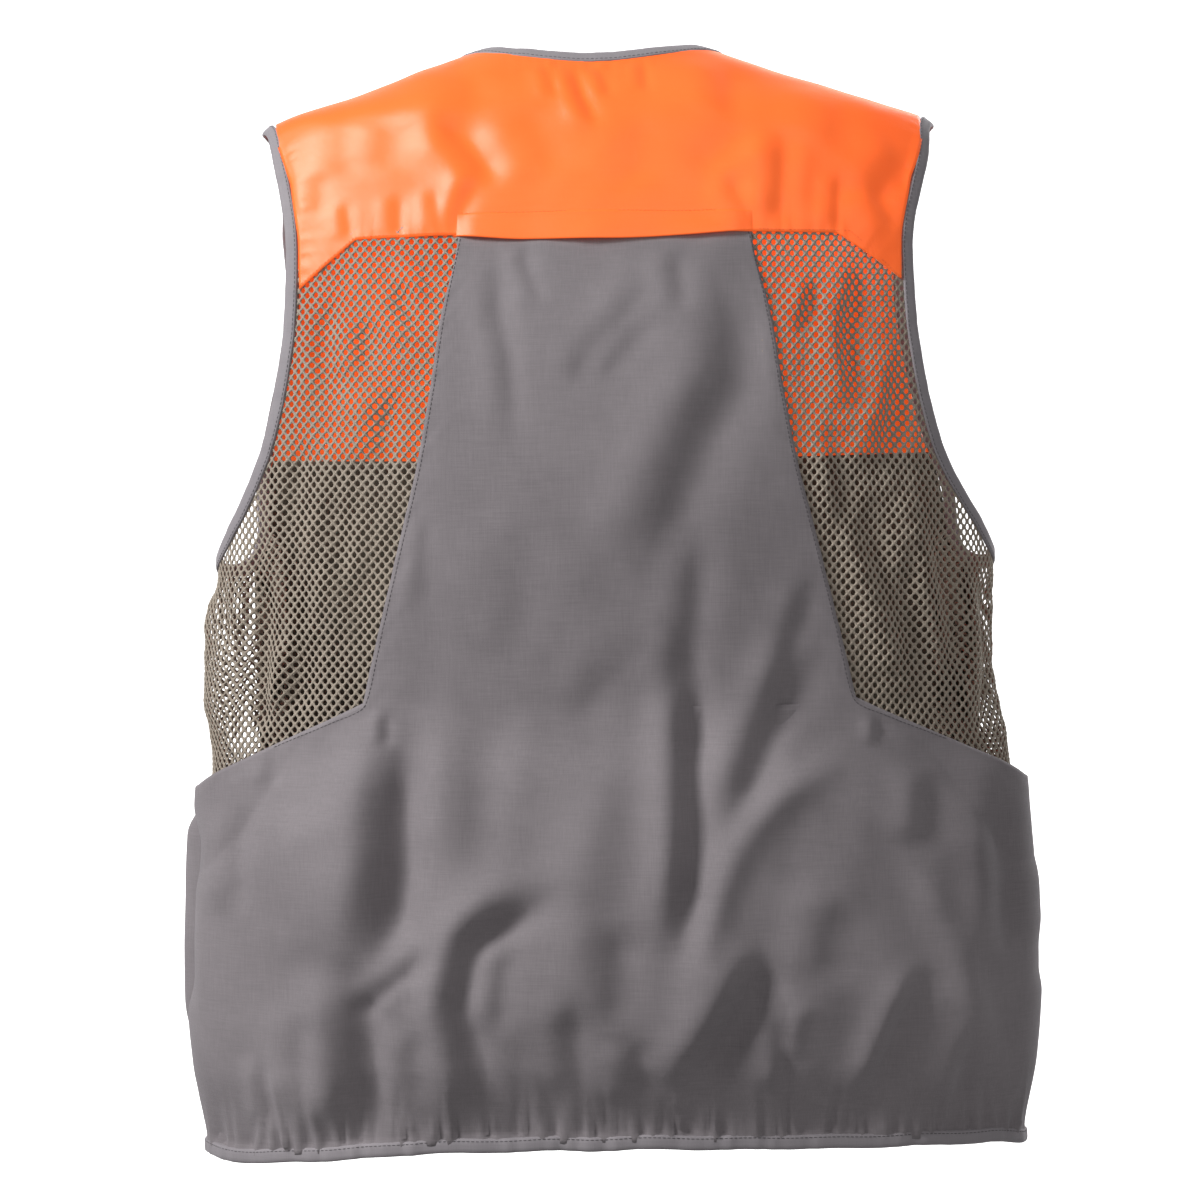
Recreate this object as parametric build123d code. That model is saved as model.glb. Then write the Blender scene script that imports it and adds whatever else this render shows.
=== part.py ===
from build123d import *
import math
import os

# Blaze orange upland vest, size L, zipped shut and hanging filled out, in millimetres.
# +Z is up, -Y is the zipped front, +Y the back and +X the wearer's left. Shapes are drawn with the
# height measured from the hem, and the export moves the origin to the hanger loop inside the back neck.
ORIGIN = Vector(0, 46, 706)

CLOTH = 1.2  # thickness of every fabric layer
BINDING = 8.0  # width of the folded binding round the armholes and the front neck
NECK_BINDING = 6.5
BINDING_PROUD = 1.2  # how far a binding stands off each face of the cloth it wraps
HEM = 8.5  # height of the hem channel
REACH = 320  # further out than any part of the vest
ABOVE = 800  # higher than any part of the vest

# Horizontal sections of the body: height, half width, depth of the back half, depth of the front half.
BODY = [
    (0, 267, 95, 98),
    (120, 268, 98, 98),
    (240, 263, 100, 98),
    (396, 257, 105, 98),
    (450, 257, 105, 98),
    (580, 252, 95, 98),
    (600, 250, 92, 98),
    (620, 246, 87, 93),
    (650, 235, 79, 84),
    (668, 220, 73, 75),
    (690, 156, 60, 56),
    (710, 99, 45, 36),
    (720, 72, 34, 26),
]
# How far the game bag stands off the body: height, at the sides, at the centre back.
BAG_PUFF = [
    (0, 1.5, 1.5),
    (8.5, 1.5, 1.5),
    (60, 9, 18),
    (108, 12, 24),
    (170, 12.5, 20),
    (240, 11.5, 12),
    (295, 0.6, 0.6),
]
BAG_SIDE_Y = 10  # the bag's side edges run down this far behind the side seams

# Outlines seen from behind, for the +X half: distance from the centre line and height.
ARM_EDGE_BACK = [
    (220, 668),
    (208.5, 625),
    (203, 585),
    (204.5, 540),
    (210, 500),
    (220, 460),
    (233, 430),
    (250, 400),
    (258, 385),
]
ARM_EDGE_FRONT = [
    (220, 668),
    (212, 612),
    (209, 567),
    (211, 512),
    (215, 472),
    (222, 432),
    (234, 396),
    (248, 382),
    (258, 385),
]
NECK_BACK = [(-72, 720), (-40, 715.5), (0, 714), (40, 715.5), (72, 720)]
NECK_FRONT = [
    (-72, 720),
    (-67, 690),
    (-50, 648),
    (-26, 615),
    (0, 606),
    (26, 615),
    (50, 648),
    (67, 690),
    (72, 720),
]
SHOULDER_DIRECTION = (-12, -40)  # both armhole edges leave the shoulder this way
NECK_DIRECTION = (5, 30)  # and both neck edges rise to it this way
YOKE_EDGE = 591
YOKE_CORNER = (160, YOKE_EDGE)
YOKE_AT_ARM = (195.5, 560)
PANEL_TOP = 602  # the centre panel and the yoke meet here, under the vent flap
PANEL_HALF = 92  # half the centre panel's width at its top
PANEL_CORNER = (156, 295)  # the centre panel widens into the bag here
BAG_CORNER = (273, 239)  # the bag's top edge meets its side edge here
PANEL_EDGE = [
    (PANEL_HALF, PANEL_TOP),
    (PANEL_HALF, 590),
    (104, 533),
    (110, 494),
    (119, 445),
    (130, 400),
    (145, 340),
    PANEL_CORNER,
]
BAG_EDGE = [PANEL_CORNER, (176, 286), (215, 270), (258, 249), BAG_CORNER]
LINING_TOP = 291
GUSSET_STRIP = 1.6  # height of the strip that closes the bag along its top edge
FRONT_SEAM = 225  # the side mesh wraps round to this seam on the front
FRONT_YOKE_EDGE = 450
PANEL_GAP = 6  # the front panels stop this far from the centre line, beside the zip

VENT = dict(half_width=96, top=608, bottom=588, off=1.6)
SLIT = dict(bottom=100, top=221)  # the bag's side entries
SIDE_FROM = 200  # what lies further out than this is the vest's side

ZIP = dict(bottom=16, top=598, y=-96.6, tape_in=1.5, tape_out=16, tape=0.8)
TOOTH = dict(inner=0.6, root=2.4, outer=4.0, pitch=3.2, deep=2.0)
SLIDER_Z = 586  # centre of the slider when the zip is shut
PULL_AXIS = Vector(0, -103, SLIDER_Z + 3)
PULL_PIN_R = 0.7
PULL_EYE_R = 0.76

POCKET = dict(
    centre=115,
    turn=10.8,
    chord_y=-82.6,
    width=150,
    bottom=40,
    top=215,
    deep_top=15,
    deep_bottom=30,
)
FLAP = dict(width=156, hinge_in=7.5, hinge_z=219.6, top_out=17.4, drop=52, gap=1.4)
SNAP_R = 6.0
STUD_R = 3.5
SNAP_BELOW_TOP = FLAP["drop"] - 11  # from the top of the flap to its snap

os.makedirs("parts", exist_ok=True)


def body_at(height):
    """Half width, back depth and front depth of the body at a height, straight between sections."""
    for low, high in zip(BODY, BODY[1:]):
        if height <= high[0]:
            share = (height - low[0]) / (high[0] - low[0])
            return [a + (b - a) * share for a, b in zip(low[1:], high[1:])]
    return list(BODY[-1][1:])


def ring(height, half_width, back, front):
    """One horizontal section: half an ellipse behind, half an ellipse in front."""
    back_arc = EllipticalCenterArc((0, 0), half_width, back, 0, arc_size=180)
    front_arc = EllipticalCenterArc((0, 0), half_width, front, 180, arc_size=180)
    return Pos(0, 0, height) * make_face([back_arc, front_arc])


def body(grow):
    """The space inside the body's outer face, moved outwards by grow."""
    rings = [ring(z, a + grow, back + grow, front + grow) for z, a, back, front in BODY]
    return loft(rings, ruled=True)


def bag(grow):
    """The space inside the game bag's outer face, for its back half."""
    rings = []
    for z, side, centre in BAG_PUFF:
        a, back, front = body_at(z)
        rings.append(ring(z, a + side + grow, back + centre + grow, front))
    return loft(rings, ruled=True)


def outline(points):
    return make_face(Polyline(*points, close=True))


def back_of(sketch):
    """Everything behind the side seams that lies within a sketch drawn in width and height."""
    return extrude(Plane.XZ * sketch, amount=-REACH)


def front_of(sketch):
    return extrude(Plane.XZ * sketch, amount=REACH)


def block(x, y, z):
    """A box from its three ranges."""
    size = [high - low for low, high in (x, y, z)]
    middle = [(low + high) / 2 for low, high in (x, y, z)]
    return Pos(*middle) * Box(*size)


def inset(edge, width, first, last):
    """An edge moved into the cloth by width. Its directions at the two ends are given."""
    between = [(after[0] - before[0], after[1] - before[1]) for before, after in zip(edge, edge[2:])]
    moved = []
    for (x, z), (run, rise) in zip(edge, [first] + between + [last]):
        scale = width / math.hypot(run, rise)
        moved.append((x + scale * rise, z - scale * run))
    return moved


def arm_hole(edge, width=0):
    """The area cut away at one armhole, or that area with the binding's width added."""
    edge = inset(edge, width, SHOULDER_DIRECTION, (1, 0))
    rest = Polyline(edge[-1], (REACH, edge[-1][1]), (REACH, ABOVE), (edge[0][0], ABOVE), edge[0])
    return make_face([Spline(*edge), rest])


def neck_hole(edge, width=0):
    run, rise = NECK_DIRECTION
    edge = inset(edge, width, (run, -rise), (run, rise))
    rest = Polyline(edge[-1], (edge[-1][0], ABOVE), (edge[0][0], ABOVE), edge[0])
    return make_face([Spline(*edge), rest])


def left_and_right(name, shape):
    """The wearer's left piece is drawn on +X and the right one is its mirror image."""
    return {name + "_left": shape, name + "_right": mirror(shape, about=Plane.YZ)}


ARM_BACK = arm_hole(ARM_EDGE_BACK)
ARM_FRONT = arm_hole(ARM_EDGE_FRONT)
ARM_BACK_BOUND = arm_hole(ARM_EDGE_BACK, BINDING)
ARM_FRONT_BOUND = arm_hole(ARM_EDGE_FRONT, BINDING)
NECK_BACK_HOLE = neck_hole(NECK_BACK)
NECK_FRONT_HOLE = neck_hole(NECK_FRONT)
NECK_BACK_BOUND = neck_hole(NECK_BACK, NECK_BINDING)
NECK_FRONT_BOUND = neck_hole(NECK_FRONT, BINDING)

YOKE_AREA = outline(
    [(0, PANEL_TOP), (PANEL_HALF, PANEL_TOP), (PANEL_HALF, YOKE_EDGE), YOKE_CORNER, YOKE_AT_ARM]
    + [(REACH, YOKE_AT_ARM[1]), (REACH, ABOVE), (0, ABOVE)]
)
CENTRE_AREA = outline([(0, PANEL_TOP)] + PANEL_EDGE + [(0, PANEL_CORNER[1])])
BAG_AREA = outline([(0, PANEL_CORNER[1])] + BAG_EDGE + [(REACH, BAG_CORNER[1]), (REACH, HEM), (0, HEM)])

BODY_OUT = body(0)
BODY_IN = body(-CLOTH)
SKIN = BODY_OUT - BODY_IN
BOUND_SKIN = body(BINDING_PROUD) - body(-CLOTH - BINDING_PROUD)
BAG_IN = bag(-CLOTH)
BAG_SKIN = bag(0) - BAG_IN


def back_yoke():
    half = SKIN & back_of(YOKE_AREA - ARM_BACK_BOUND - NECK_BACK_BOUND)
    return half + mirror(half, about=Plane.YZ)


def vent_flap():
    """The short flap that covers the top of the centre panel, in the layer outside the yoke."""
    area = Rectangle(2 * VENT["half_width"], VENT["top"] - VENT["bottom"])
    middle = (VENT["top"] + VENT["bottom"]) / 2
    layer = body(VENT["off"]) - body(VENT["off"] - CLOTH)
    return layer & back_of(Pos(0, middle) * area)


def game_bag_outer():
    """Centre panel and bag front, one piece of cloth that leaves the body below the panel's corners."""
    centre = SKIN & back_of(CENTRE_AREA)
    pouch = BAG_SKIN & back_of(BAG_AREA) & block((0, REACH), (BAG_SIDE_Y, REACH), (HEM, PANEL_CORNER[1]))
    half = centre + pouch
    return half + mirror(half, about=Plane.YZ)


def game_bag_lining():
    """The bag's inner wall, which wraps the sides as far as the front seams."""
    under_seam = block((-REACH, REACH), (-REACH, REACH), (LINING_TOP, ABOVE))
    inner = SKIN & back_of(BAG_AREA)
    side = outline([(FRONT_SEAM, HEM), (REACH, HEM), (REACH, BAG_CORNER[1]), (FRONT_SEAM, BAG_CORNER[1])])
    half = (inner - under_seam) + (SKIN & front_of(side))
    return half + mirror(half, about=Plane.YZ)


def bag_gusset():
    """Strips that close the bag along its slanted top edge and its side, except at the side entry."""
    gap = BAG_IN - BODY_OUT
    lower = [(x, z - GUSSET_STRIP) for x, z in BAG_EDGE]
    corner = BAG_CORNER[1]
    top_strip = outline(BAG_EDGE + [(REACH, corner), (REACH, corner - GUSSET_STRIP)] + lower[::-1])
    side = block((SIDE_FROM, REACH), (BAG_SIDE_Y, BAG_SIDE_Y + CLOTH), (HEM, corner - 3))
    entry = block((SIDE_FROM, REACH), (0, REACH), (SLIT["bottom"], SLIT["top"]))
    heights = (SLIT["top"], PANEL_CORNER[1])
    outside_the_panel = block((PANEL_CORNER[0] + 4, REACH), (BAG_SIDE_Y, REACH), heights)
    closed_top = gap & back_of(top_strip) & outside_the_panel
    return closed_top + (gap & (side - entry))


def mesh_panel():
    """Net from the centre panel round the side to the front seam."""
    low = BAG_CORNER[1]
    sheet = outline([(PANEL_HALF, low), (REACH, low), (REACH, PANEL_TOP - 2), (PANEL_HALF, PANEL_TOP - 2)])
    behind = sheet - YOKE_AREA - CENTRE_AREA - BAG_AREA - ARM_BACK_BOUND
    high = FRONT_YOKE_EDGE
    round_side = outline([(FRONT_SEAM, low), (REACH, low), (REACH, high), (FRONT_SEAM, high)])
    return (SKIN & back_of(behind)) + (SKIN & front_of(round_side - ARM_FRONT_BOUND))


def front_area(low, high):
    edge = outline([(PANEL_GAP, low), (REACH, low), (REACH, high), (PANEL_GAP, high)])
    return edge - ARM_FRONT_BOUND - NECK_FRONT_BOUND


def front_yoke():
    return SKIN & front_of(front_area(FRONT_YOKE_EDGE, ABOVE))


def front_panel():
    seam = outline([(PANEL_GAP, HEM), (FRONT_SEAM, HEM), (FRONT_SEAM, ABOVE), (PANEL_GAP, ABOVE)])
    return SKIN & front_of(front_area(HEM, FRONT_YOKE_EDGE) & seam)


def armhole_binding():
    behind = BOUND_SKIN & back_of(ARM_BACK_BOUND - ARM_BACK)
    before = BOUND_SKIN & front_of(ARM_FRONT_BOUND - ARM_FRONT)
    return behind + before


def neck_binding():
    """A collar strip round the neck that stops each side of the zip."""
    behind = BOUND_SKIN & back_of(NECK_BACK_BOUND - NECK_BACK_HOLE)
    before = BOUND_SKIN & front_of(NECK_FRONT_BOUND - NECK_FRONT_HOLE)
    zip_gap = block((-PANEL_GAP, PANEL_GAP), (-REACH, 0), (500, 640))
    return behind + (before - zip_gap)


def hem_ring(outer, inner, low, high):
    slice_of_height = block((-REACH, REACH), (-REACH, REACH), (low, high))
    zip_gap = block((-PANEL_GAP, PANEL_GAP), (-REACH, 0), (low - 1, high + 1))
    return ((body(outer) - body(inner)) & slice_of_height) - zip_gap


def hem_binding():
    """A hollow channel along the hem with the elastic inside it."""
    return hem_ring(3.2, -CLOTH - 1.0, 0, HEM) - hem_ring(2.2, -CLOTH, 1.0, HEM - 1.0)


def hem_elastic():
    ends = block((-PANEL_GAP - 2, PANEL_GAP + 2), (-REACH, 0), (0, HEM))
    return hem_ring(1.4, -0.4, 1.5, HEM - 1.5) - ends


def hanger_loop():
    """A strap sewn under the back neck binding at both ends, hanging in a U inside the neck."""
    strap = Rectangle(52, 26) - Pos(0, 4) * Rectangle(36, 26)
    return Pos(0, ORIGIN.Y - 2, ORIGIN.Z - 14.5) * extrude(Plane.XZ * strap, amount=1.5)


def zip_tape():
    x = (ZIP["tape_in"], ZIP["tape_out"])
    return block(x, (ZIP["y"], ZIP["y"] + ZIP["tape"]), (HEM, ZIP["top"]))


def zip_teeth():
    """A comb of teeth whose tips stop just short of the centre line, where the slider's post passes."""
    points = []
    count = int((ZIP["top"] - 4 - ZIP["bottom"]) / TOOTH["pitch"])
    for number in range(count):
        low = ZIP["bottom"] + number * TOOTH["pitch"]
        high = low + TOOTH["pitch"] / 2
        points += [(TOOTH["inner"], low), (TOOTH["inner"], high)]
        points += [(TOOTH["root"], high), (TOOTH["root"], low + TOOTH["pitch"])]
    points += [(TOOTH["outer"], points[-1][1]), (TOOTH["outer"], ZIP["bottom"])]
    comb = extrude(Plane.XZ * outline(points), amount=TOOTH["deep"])
    return Pos(0, ZIP["y"], 0) * comb


def zip_slider():
    """Front and back plates joined by a thin post, with two lugs and a pin for the pull."""
    height = (SLIDER_Z - 8, SLIDER_Z + 8)
    front = fillet(block((-6.5, 6.5), (-100.6, -99.2), height).edges().filter_by(Axis.Y), 2.5)
    back = fillet(block((-6.5, 6.5), (-95.4, -94.2), height).edges().filter_by(Axis.Y), 2.5)
    post = block((-0.4, 0.4), (-99.3, -95.3), (SLIDER_Z - 2, SLIDER_Z + 7))
    slider = front + back + post
    pin_z = (PULL_AXIS.Z - 1.6, PULL_AXIS.Z + 1.6)
    for x in ((-3.4, -2.2), (2.2, 3.4)):
        slider += block(x, (PULL_AXIS.Y - 1.6, -100.5), pin_z)
    pin = Location(PULL_AXIS, (0, 90, 0)) * Cylinder(PULL_PIN_R, 5.6)
    return slider + pin


def zip_pull():
    """A narrow eye round the pin that widens into a flat tab hanging down the front."""
    y = (PULL_AXIS.Y - 0.7, PULL_AXIS.Y + 0.7)
    eye = Location(PULL_AXIS, (0, 90, 0)) * Cylinder(1.8, 3.2)
    neck = block((-1.6, 1.6), y, (PULL_AXIS.Z - 6.5, PULL_AXIS.Z))
    tab = block((-4, 4), y, (PULL_AXIS.Z - 34, PULL_AXIS.Z - 6))
    tab = fillet(tab.edges().filter_by(Axis.Y), 1.5)
    return eye + neck + tab - Location(PULL_AXIS, (0, 90, 0)) * Cylinder(PULL_EYE_R, 4)


def zip_top_stops():
    stop = block((TOOTH["inner"], 4.4), (-99, ZIP["y"]), (ZIP["top"] - 3, ZIP["top"]))
    return stop + mirror(stop, about=Plane.YZ)


def zip_bottom_stop():
    return block((-4.5, 4.5), (-99, ZIP["y"]), (ZIP["bottom"] - 4, ZIP["bottom"]))


def pocket_place():
    return Location((POCKET["centre"], POCKET["chord_y"], 0), (0, 0, POCKET["turn"]))


def pocket_side(points, width):
    """A solid from its side profile, drawn as distance out from the chest and height."""
    profile = make_face(Polyline(*[(-out, z) for out, z in points], close=True))
    solid = extrude(Plane.YZ * profile, amount=width / 2, both=True)
    return pocket_place() * solid


def pocket():
    """A bellows pocket, deeper at the bottom, open at the top and backed by the front panel."""
    low, high, deep, shallow = POCKET["bottom"], POCKET["top"], POCKET["deep_bottom"], POCKET["deep_top"]
    outside = [(-8, low), (deep - 4, low), (deep, low + 12), (shallow, high), (-8, high)]
    inside = [(-9, low + CLOTH), (deep - 4.6, low + CLOTH), (deep - CLOTH, low + 12.4)]
    inside += [(shallow - CLOTH, high + 1), (-9, high + 1)]
    walls = pocket_side(outside, POCKET["width"]) - pocket_side(inside, POCKET["width"] - 2 * CLOTH)
    return walls - BODY_OUT


def flap_front(below_top):
    """How far the flap's outer face stands out, a given distance below its top edge."""
    slope = (POCKET["deep_bottom"] - POCKET["deep_top"]) / (POCKET["top"] - POCKET["bottom"] - 12)
    return FLAP["top_out"] + slope * below_top


def pocket_flap():
    """A ledge off the chest and a drop in front of the pocket's mouth, turning about the ledge's seam."""
    top = FLAP["hinge_z"] + CLOTH / 2
    out, low_out = flap_front(0), flap_front(FLAP["drop"])
    inner, bottom = FLAP["hinge_in"] - CLOTH / 2, top - FLAP["drop"]
    outside = [(inner, top), (out, top), (low_out, bottom)]
    inside = [(low_out - CLOTH, bottom), (out - CLOTH, top - CLOTH), (inner, top - CLOTH)]
    return pocket_side(outside + inside, FLAP["width"])


def snap_disc(radius, out, thick, below_top):
    """A round snap part on the pocket's middle line, standing out from a given depth."""
    z = FLAP["hinge_z"] + CLOTH / 2 - below_top
    slope = math.degrees(math.atan2(flap_front(1) - flap_front(0), 1))
    from_face = (Align.CENTER, Align.CENTER, Align.MIN)
    disc = Location((0, -out, z), (90 + slope, 0, 0)) * Cylinder(radius, thick, align=from_face)
    return pocket_place() * disc


def snap_cap():
    """The dome on the flap's outside."""
    return snap_disc(SNAP_R, flap_front(SNAP_BELOW_TOP) + 0.05, 1.8, SNAP_BELOW_TOP) - pocket_flap()


def snap_stud():
    """The stud on the pocket's outside, under the flap."""
    out = flap_front(SNAP_BELOW_TOP) - CLOTH - FLAP["gap"] - 0.2
    return snap_disc(STUD_R, out, 0.9, SNAP_BELOW_TOP) - pocket()


PARTS = {
    "back_yoke": back_yoke(),
    "vent_flap": vent_flap(),
    "game_bag_outer": game_bag_outer(),
    "game_bag_lining": game_bag_lining(),
    "neck_binding": neck_binding(),
    "hem_binding": hem_binding(),
    "hem_elastic": hem_elastic(),
    "hanger_loop": hanger_loop(),
    "zip_slider": zip_slider(),
    "zip_pull": zip_pull(),
    "zip_top_stops": zip_top_stops(),
    "zip_bottom_stop": zip_bottom_stop(),
}
PAIRS = {
    "mesh_panel": mesh_panel,
    "front_yoke": front_yoke,
    "front_panel": front_panel,
    "armhole_binding": armhole_binding,
    "bag_gusset": bag_gusset,
    "zip_tape": zip_tape,
    "zip_teeth": zip_teeth,
    "pocket": pocket,
    "pocket_flap": pocket_flap,
    "snap_cap": snap_cap,
    "snap_stud": snap_stud,
}
for name, make in PAIRS.items():
    PARTS.update(left_and_right(name, make()))

for name, shape in PARTS.items():
    placed = Pos(-ORIGIN.X, -ORIGIN.Y, -ORIGIN.Z) * shape
    export_step(placed, "parts/" + name + ".step")
    print(name, len(placed.solids()), round(placed.volume))
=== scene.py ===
"""Looks for the blaze orange vest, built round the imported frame. Lengths are millimetres in the row's
directions, with heights measured up from the hem, and become metres only when a mesh is made."""
import math
import bmesh
import bpy
import numpy as np
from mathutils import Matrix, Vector
from mathutils.bvhtree import BVHTree


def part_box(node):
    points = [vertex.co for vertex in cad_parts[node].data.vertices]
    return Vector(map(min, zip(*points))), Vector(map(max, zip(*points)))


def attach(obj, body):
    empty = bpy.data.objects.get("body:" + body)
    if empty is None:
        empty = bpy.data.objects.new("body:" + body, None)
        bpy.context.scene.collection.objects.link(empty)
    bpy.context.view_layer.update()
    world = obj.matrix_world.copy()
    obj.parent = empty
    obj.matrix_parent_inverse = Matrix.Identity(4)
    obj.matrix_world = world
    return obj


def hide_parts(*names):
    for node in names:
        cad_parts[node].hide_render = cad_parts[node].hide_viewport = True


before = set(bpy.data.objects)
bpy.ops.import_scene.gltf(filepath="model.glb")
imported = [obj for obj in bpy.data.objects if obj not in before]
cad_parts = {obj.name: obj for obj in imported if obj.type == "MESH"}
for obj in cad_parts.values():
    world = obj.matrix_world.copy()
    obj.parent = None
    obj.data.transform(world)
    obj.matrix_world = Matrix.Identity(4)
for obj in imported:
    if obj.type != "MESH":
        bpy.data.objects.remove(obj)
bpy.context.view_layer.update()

# ---------------------------------------------------------------- the frame's own places
HEM_LOW, HEM_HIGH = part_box("hem_binding")
HEM_PROUD = 3.2
HEM_WIDTH = (HEM_HIGH[2] - HEM_LOW[2]) * 1000
FRONT_DEPTH = 98
ORIGIN_Y = HEM_LOW[1] * 1000 + FRONT_DEPTH + HEM_PROUD
ORIGIN_Z = HEM_LOW[2] * 1000

# ---------------------------------------------------------------- shape of the body and the bag
# height, half width, depth of the back half, depth of the front half
BODY = np.array([
    (0, 267, 95, 98), (120, 268, 98, 98), (240, 263, 100, 98), (396, 257, 105, 98),
    (450, 257, 105, 98), (580, 252, 95, 98), (600, 250, 92, 98), (620, 246, 87, 93),
    (650, 235, 79, 84), (668, 220, 73, 75), (690, 156, 60, 56), (710, 99, 45, 36), (720, 72, 34, 26),
], float)
# height, how far the bag stands off the body at the sides and at the centre back
BAG_PUFF = np.array([
    (0, 1.5, 1.5), (8.5, 1.5, 1.5), (60, 9, 18), (108, 12, 24), (170, 12.5, 20), (240, 11.5, 12),
    (295, 0.6, 0.6), (330, 0, 0), (720, 0, 0),
], float)

ARM_EDGE_BACK = [
    (220, 668), (208.5, 625), (203, 585), (204.5, 540), (210, 500), (220, 460), (233, 430),
    (250, 400), (258, 385),
]
ARM_EDGE_FRONT = [
    (220, 668), (212, 612), (209, 567), (211, 512), (215, 472), (222, 432), (234, 396),
    (248, 382), (258, 385),
]
NECK_BACK = [(72, 720), (40, 715.5), (0, 714), (-40, 715.5), (-72, 720)]
NECK_FRONT = [(72, 720), (67, 690), (50, 648), (26, 615), (0, 606)]
YOKE_EDGE = 588
YOKE_CORNER = (158, YOKE_EDGE)
YOKE_BOTTOM = [
    (195.5, 558), YOKE_CORNER, (96, YOKE_EDGE), (0, YOKE_EDGE), (-96, YOKE_EDGE), (-150, YOKE_EDGE),
    (-195.5, 560),
]
PANEL_TOP = 602
PANEL_EDGE = [
    (92, PANEL_TOP), (92, 590), (104, 533), (110, 494), (119, 445), (130, 400), (145, 340), (156, 295),
]
BAG_EDGE = [(156, 295), (176, 286), (215, 270), (258, 249), (273, 239)]
FRONT_SEAM = 225
FRONT_YOKE_EDGE = 450
PANEL_GAP = 6
BINDING = 8.0
NECK_BINDING = 6.5

# ---------------------------------------------------------------- numbers
def smooth(x, xs, ys):
    """Value of a smooth curve through the points (xs, ys), a Hermite spline without overshoot at peaks."""
    xs, ys = np.asarray(xs, float), np.asarray(ys, float)
    steps = np.diff(ys) / np.diff(xs)
    slopes = np.zeros(len(xs))
    same = steps[1:] * steps[:-1] > 0
    slopes[1:-1][same] = 2 * steps[1:][same] * steps[:-1][same] / (steps[1:][same] + steps[:-1][same])
    slopes[0], slopes[-1] = steps[0], steps[-1]
    x = np.clip(x, xs[0], xs[-1])
    i = np.clip(np.searchsorted(xs, x, side="right") - 1, 0, len(xs) - 2)
    width = xs[i + 1] - xs[i]
    t = (x - xs[i]) / width
    a = ys[i] * (1 + 2 * t) * (1 - t) ** 2 + slopes[i] * width * t * (1 - t) ** 2
    return a + ys[i + 1] * t * t * (3 - 2 * t) + slopes[i + 1] * width * t * t * (t - 1)


def step(x, low, high):
    """A smooth step from 0 at low to 1 at high."""
    t = np.clip((x - low) / (high - low), 0, 1)
    return t * t * (3 - 2 * t)


def noise(t, seed, octaves=3):
    """Smooth one-dimensional noise between about -1 and 1, with waves about one unit of t long."""
    pick = np.random.default_rng(seed)
    total = np.zeros(np.shape(t))
    for octave in range(octaves):
        for _ in range(3):
            rate = 2 * math.pi * pick.uniform(0.5, 1.3) * 1.7**octave
            total += np.sin(rate * t + pick.uniform(0, 6.28)) / 1.6**octave
    return total / 3.2


def ripples(x, z, wave, seed, lean=None, spread=math.pi):
    """Smooth two-dimensional noise, a sum of plane waves about wave mm long."""
    count = 9
    pick = np.random.default_rng(seed)
    total = np.zeros(np.shape(x))
    middle = pick.uniform(0, math.pi) if lean is None else lean
    for _ in range(count):
        angle = middle + pick.uniform(-spread, spread) / 2
        rate = 2 * math.pi / (wave * pick.uniform(0.7, 1.5))
        total += np.sin(rate * (x * math.cos(angle) + z * math.sin(angle)) + pick.uniform(0, 6.28))
    return total / math.sqrt(count)


def along_line(points, spacing):
    """Points every spacing mm on a smooth curve through the given ones."""
    points = np.asarray(points, float)
    lengths = np.r_[0, np.cumsum(np.linalg.norm(np.diff(points, axis=0), axis=1))]
    fine = np.linspace(0, lengths[-1], max(8, int(lengths[-1] / 1.5)))
    curve = np.stack([smooth(fine, lengths, points[:, k]) for k in range(points.shape[1])], 1)
    return resample(curve, spacing=spacing)


def resample(points, spacing=None, count=None):
    """Evenly spaced points on a polyline, by their spacing or their count."""
    points = np.asarray(points, float)
    lengths = np.r_[0, np.cumsum(np.linalg.norm(np.diff(points, axis=0), axis=1))]
    count = count or max(2, int(round(lengths[-1] / spacing)) + 1)
    at = np.linspace(0, lengths[-1], count)
    return np.stack([np.interp(at, lengths, points[:, k]) for k in range(points.shape[1])], 1)


# ---------------------------------------------------------------- the body's surface
def section(z, bag=0.0):
    """Half width and back and front depths at a height, with a share of the bag's puff added."""
    a, back, front = (smooth(z, BODY[:, 0], BODY[:, k]) for k in (1, 2, 3))
    side, centre = (smooth(z, BAG_PUFF[:, 0], BAG_PUFF[:, k]) for k in (1, 2))
    return a + bag * side, back + bag * centre, front


TURN_STEPS = np.linspace(0, math.pi, 241)
HEIGHT_STEP = 4.0
HEIGHT_STEPS = np.arange(-8, 733, HEIGHT_STEP)


def round_table(bag):
    """Distance round the vest from the centre back, at each height and each turn angle."""
    a, back, front = section(HEIGHT_STEPS, bag)
    x = a[:, None] * np.sin(TURN_STEPS)
    depth = np.where(TURN_STEPS < math.pi / 2, back[:, None], front[:, None])
    y = depth * np.cos(TURN_STEPS)
    pieces = np.hypot(np.diff(x, axis=1), np.diff(y, axis=1))
    return np.concatenate([np.zeros((len(HEIGHT_STEPS), 1)), np.cumsum(pieces, axis=1)], axis=1)


ROUND = {bag: round_table(bag) for bag in (0.0, 1.0)}


def table_rows(z):
    """The table's row below each height, and how far the height is on the way to the next row."""
    place = np.clip((z.ravel() - HEIGHT_STEPS[0]) / HEIGHT_STEP, 0, len(HEIGHT_STEPS) - 2.001)
    low = place.astype(int)
    return low, place - low


def turn_at(u, z, bag=0.0):
    """Turn angle at a distance u round the vest, for arrays."""
    u, z = np.broadcast_arrays(np.abs(np.asarray(u, float)), np.asarray(z, float))
    table = ROUND[bag]
    flat_u = u.ravel()
    low, share = table_rows(z)
    out = np.empty(len(flat_u))
    for row in np.unique(low):
        pick = low == row
        below = np.interp(flat_u[pick], table[row], TURN_STEPS)
        above = np.interp(flat_u[pick], table[row + 1], TURN_STEPS)
        out[pick] = below * (1 - share[pick]) + above * share[pick]
    return out.reshape(u.shape)


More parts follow.
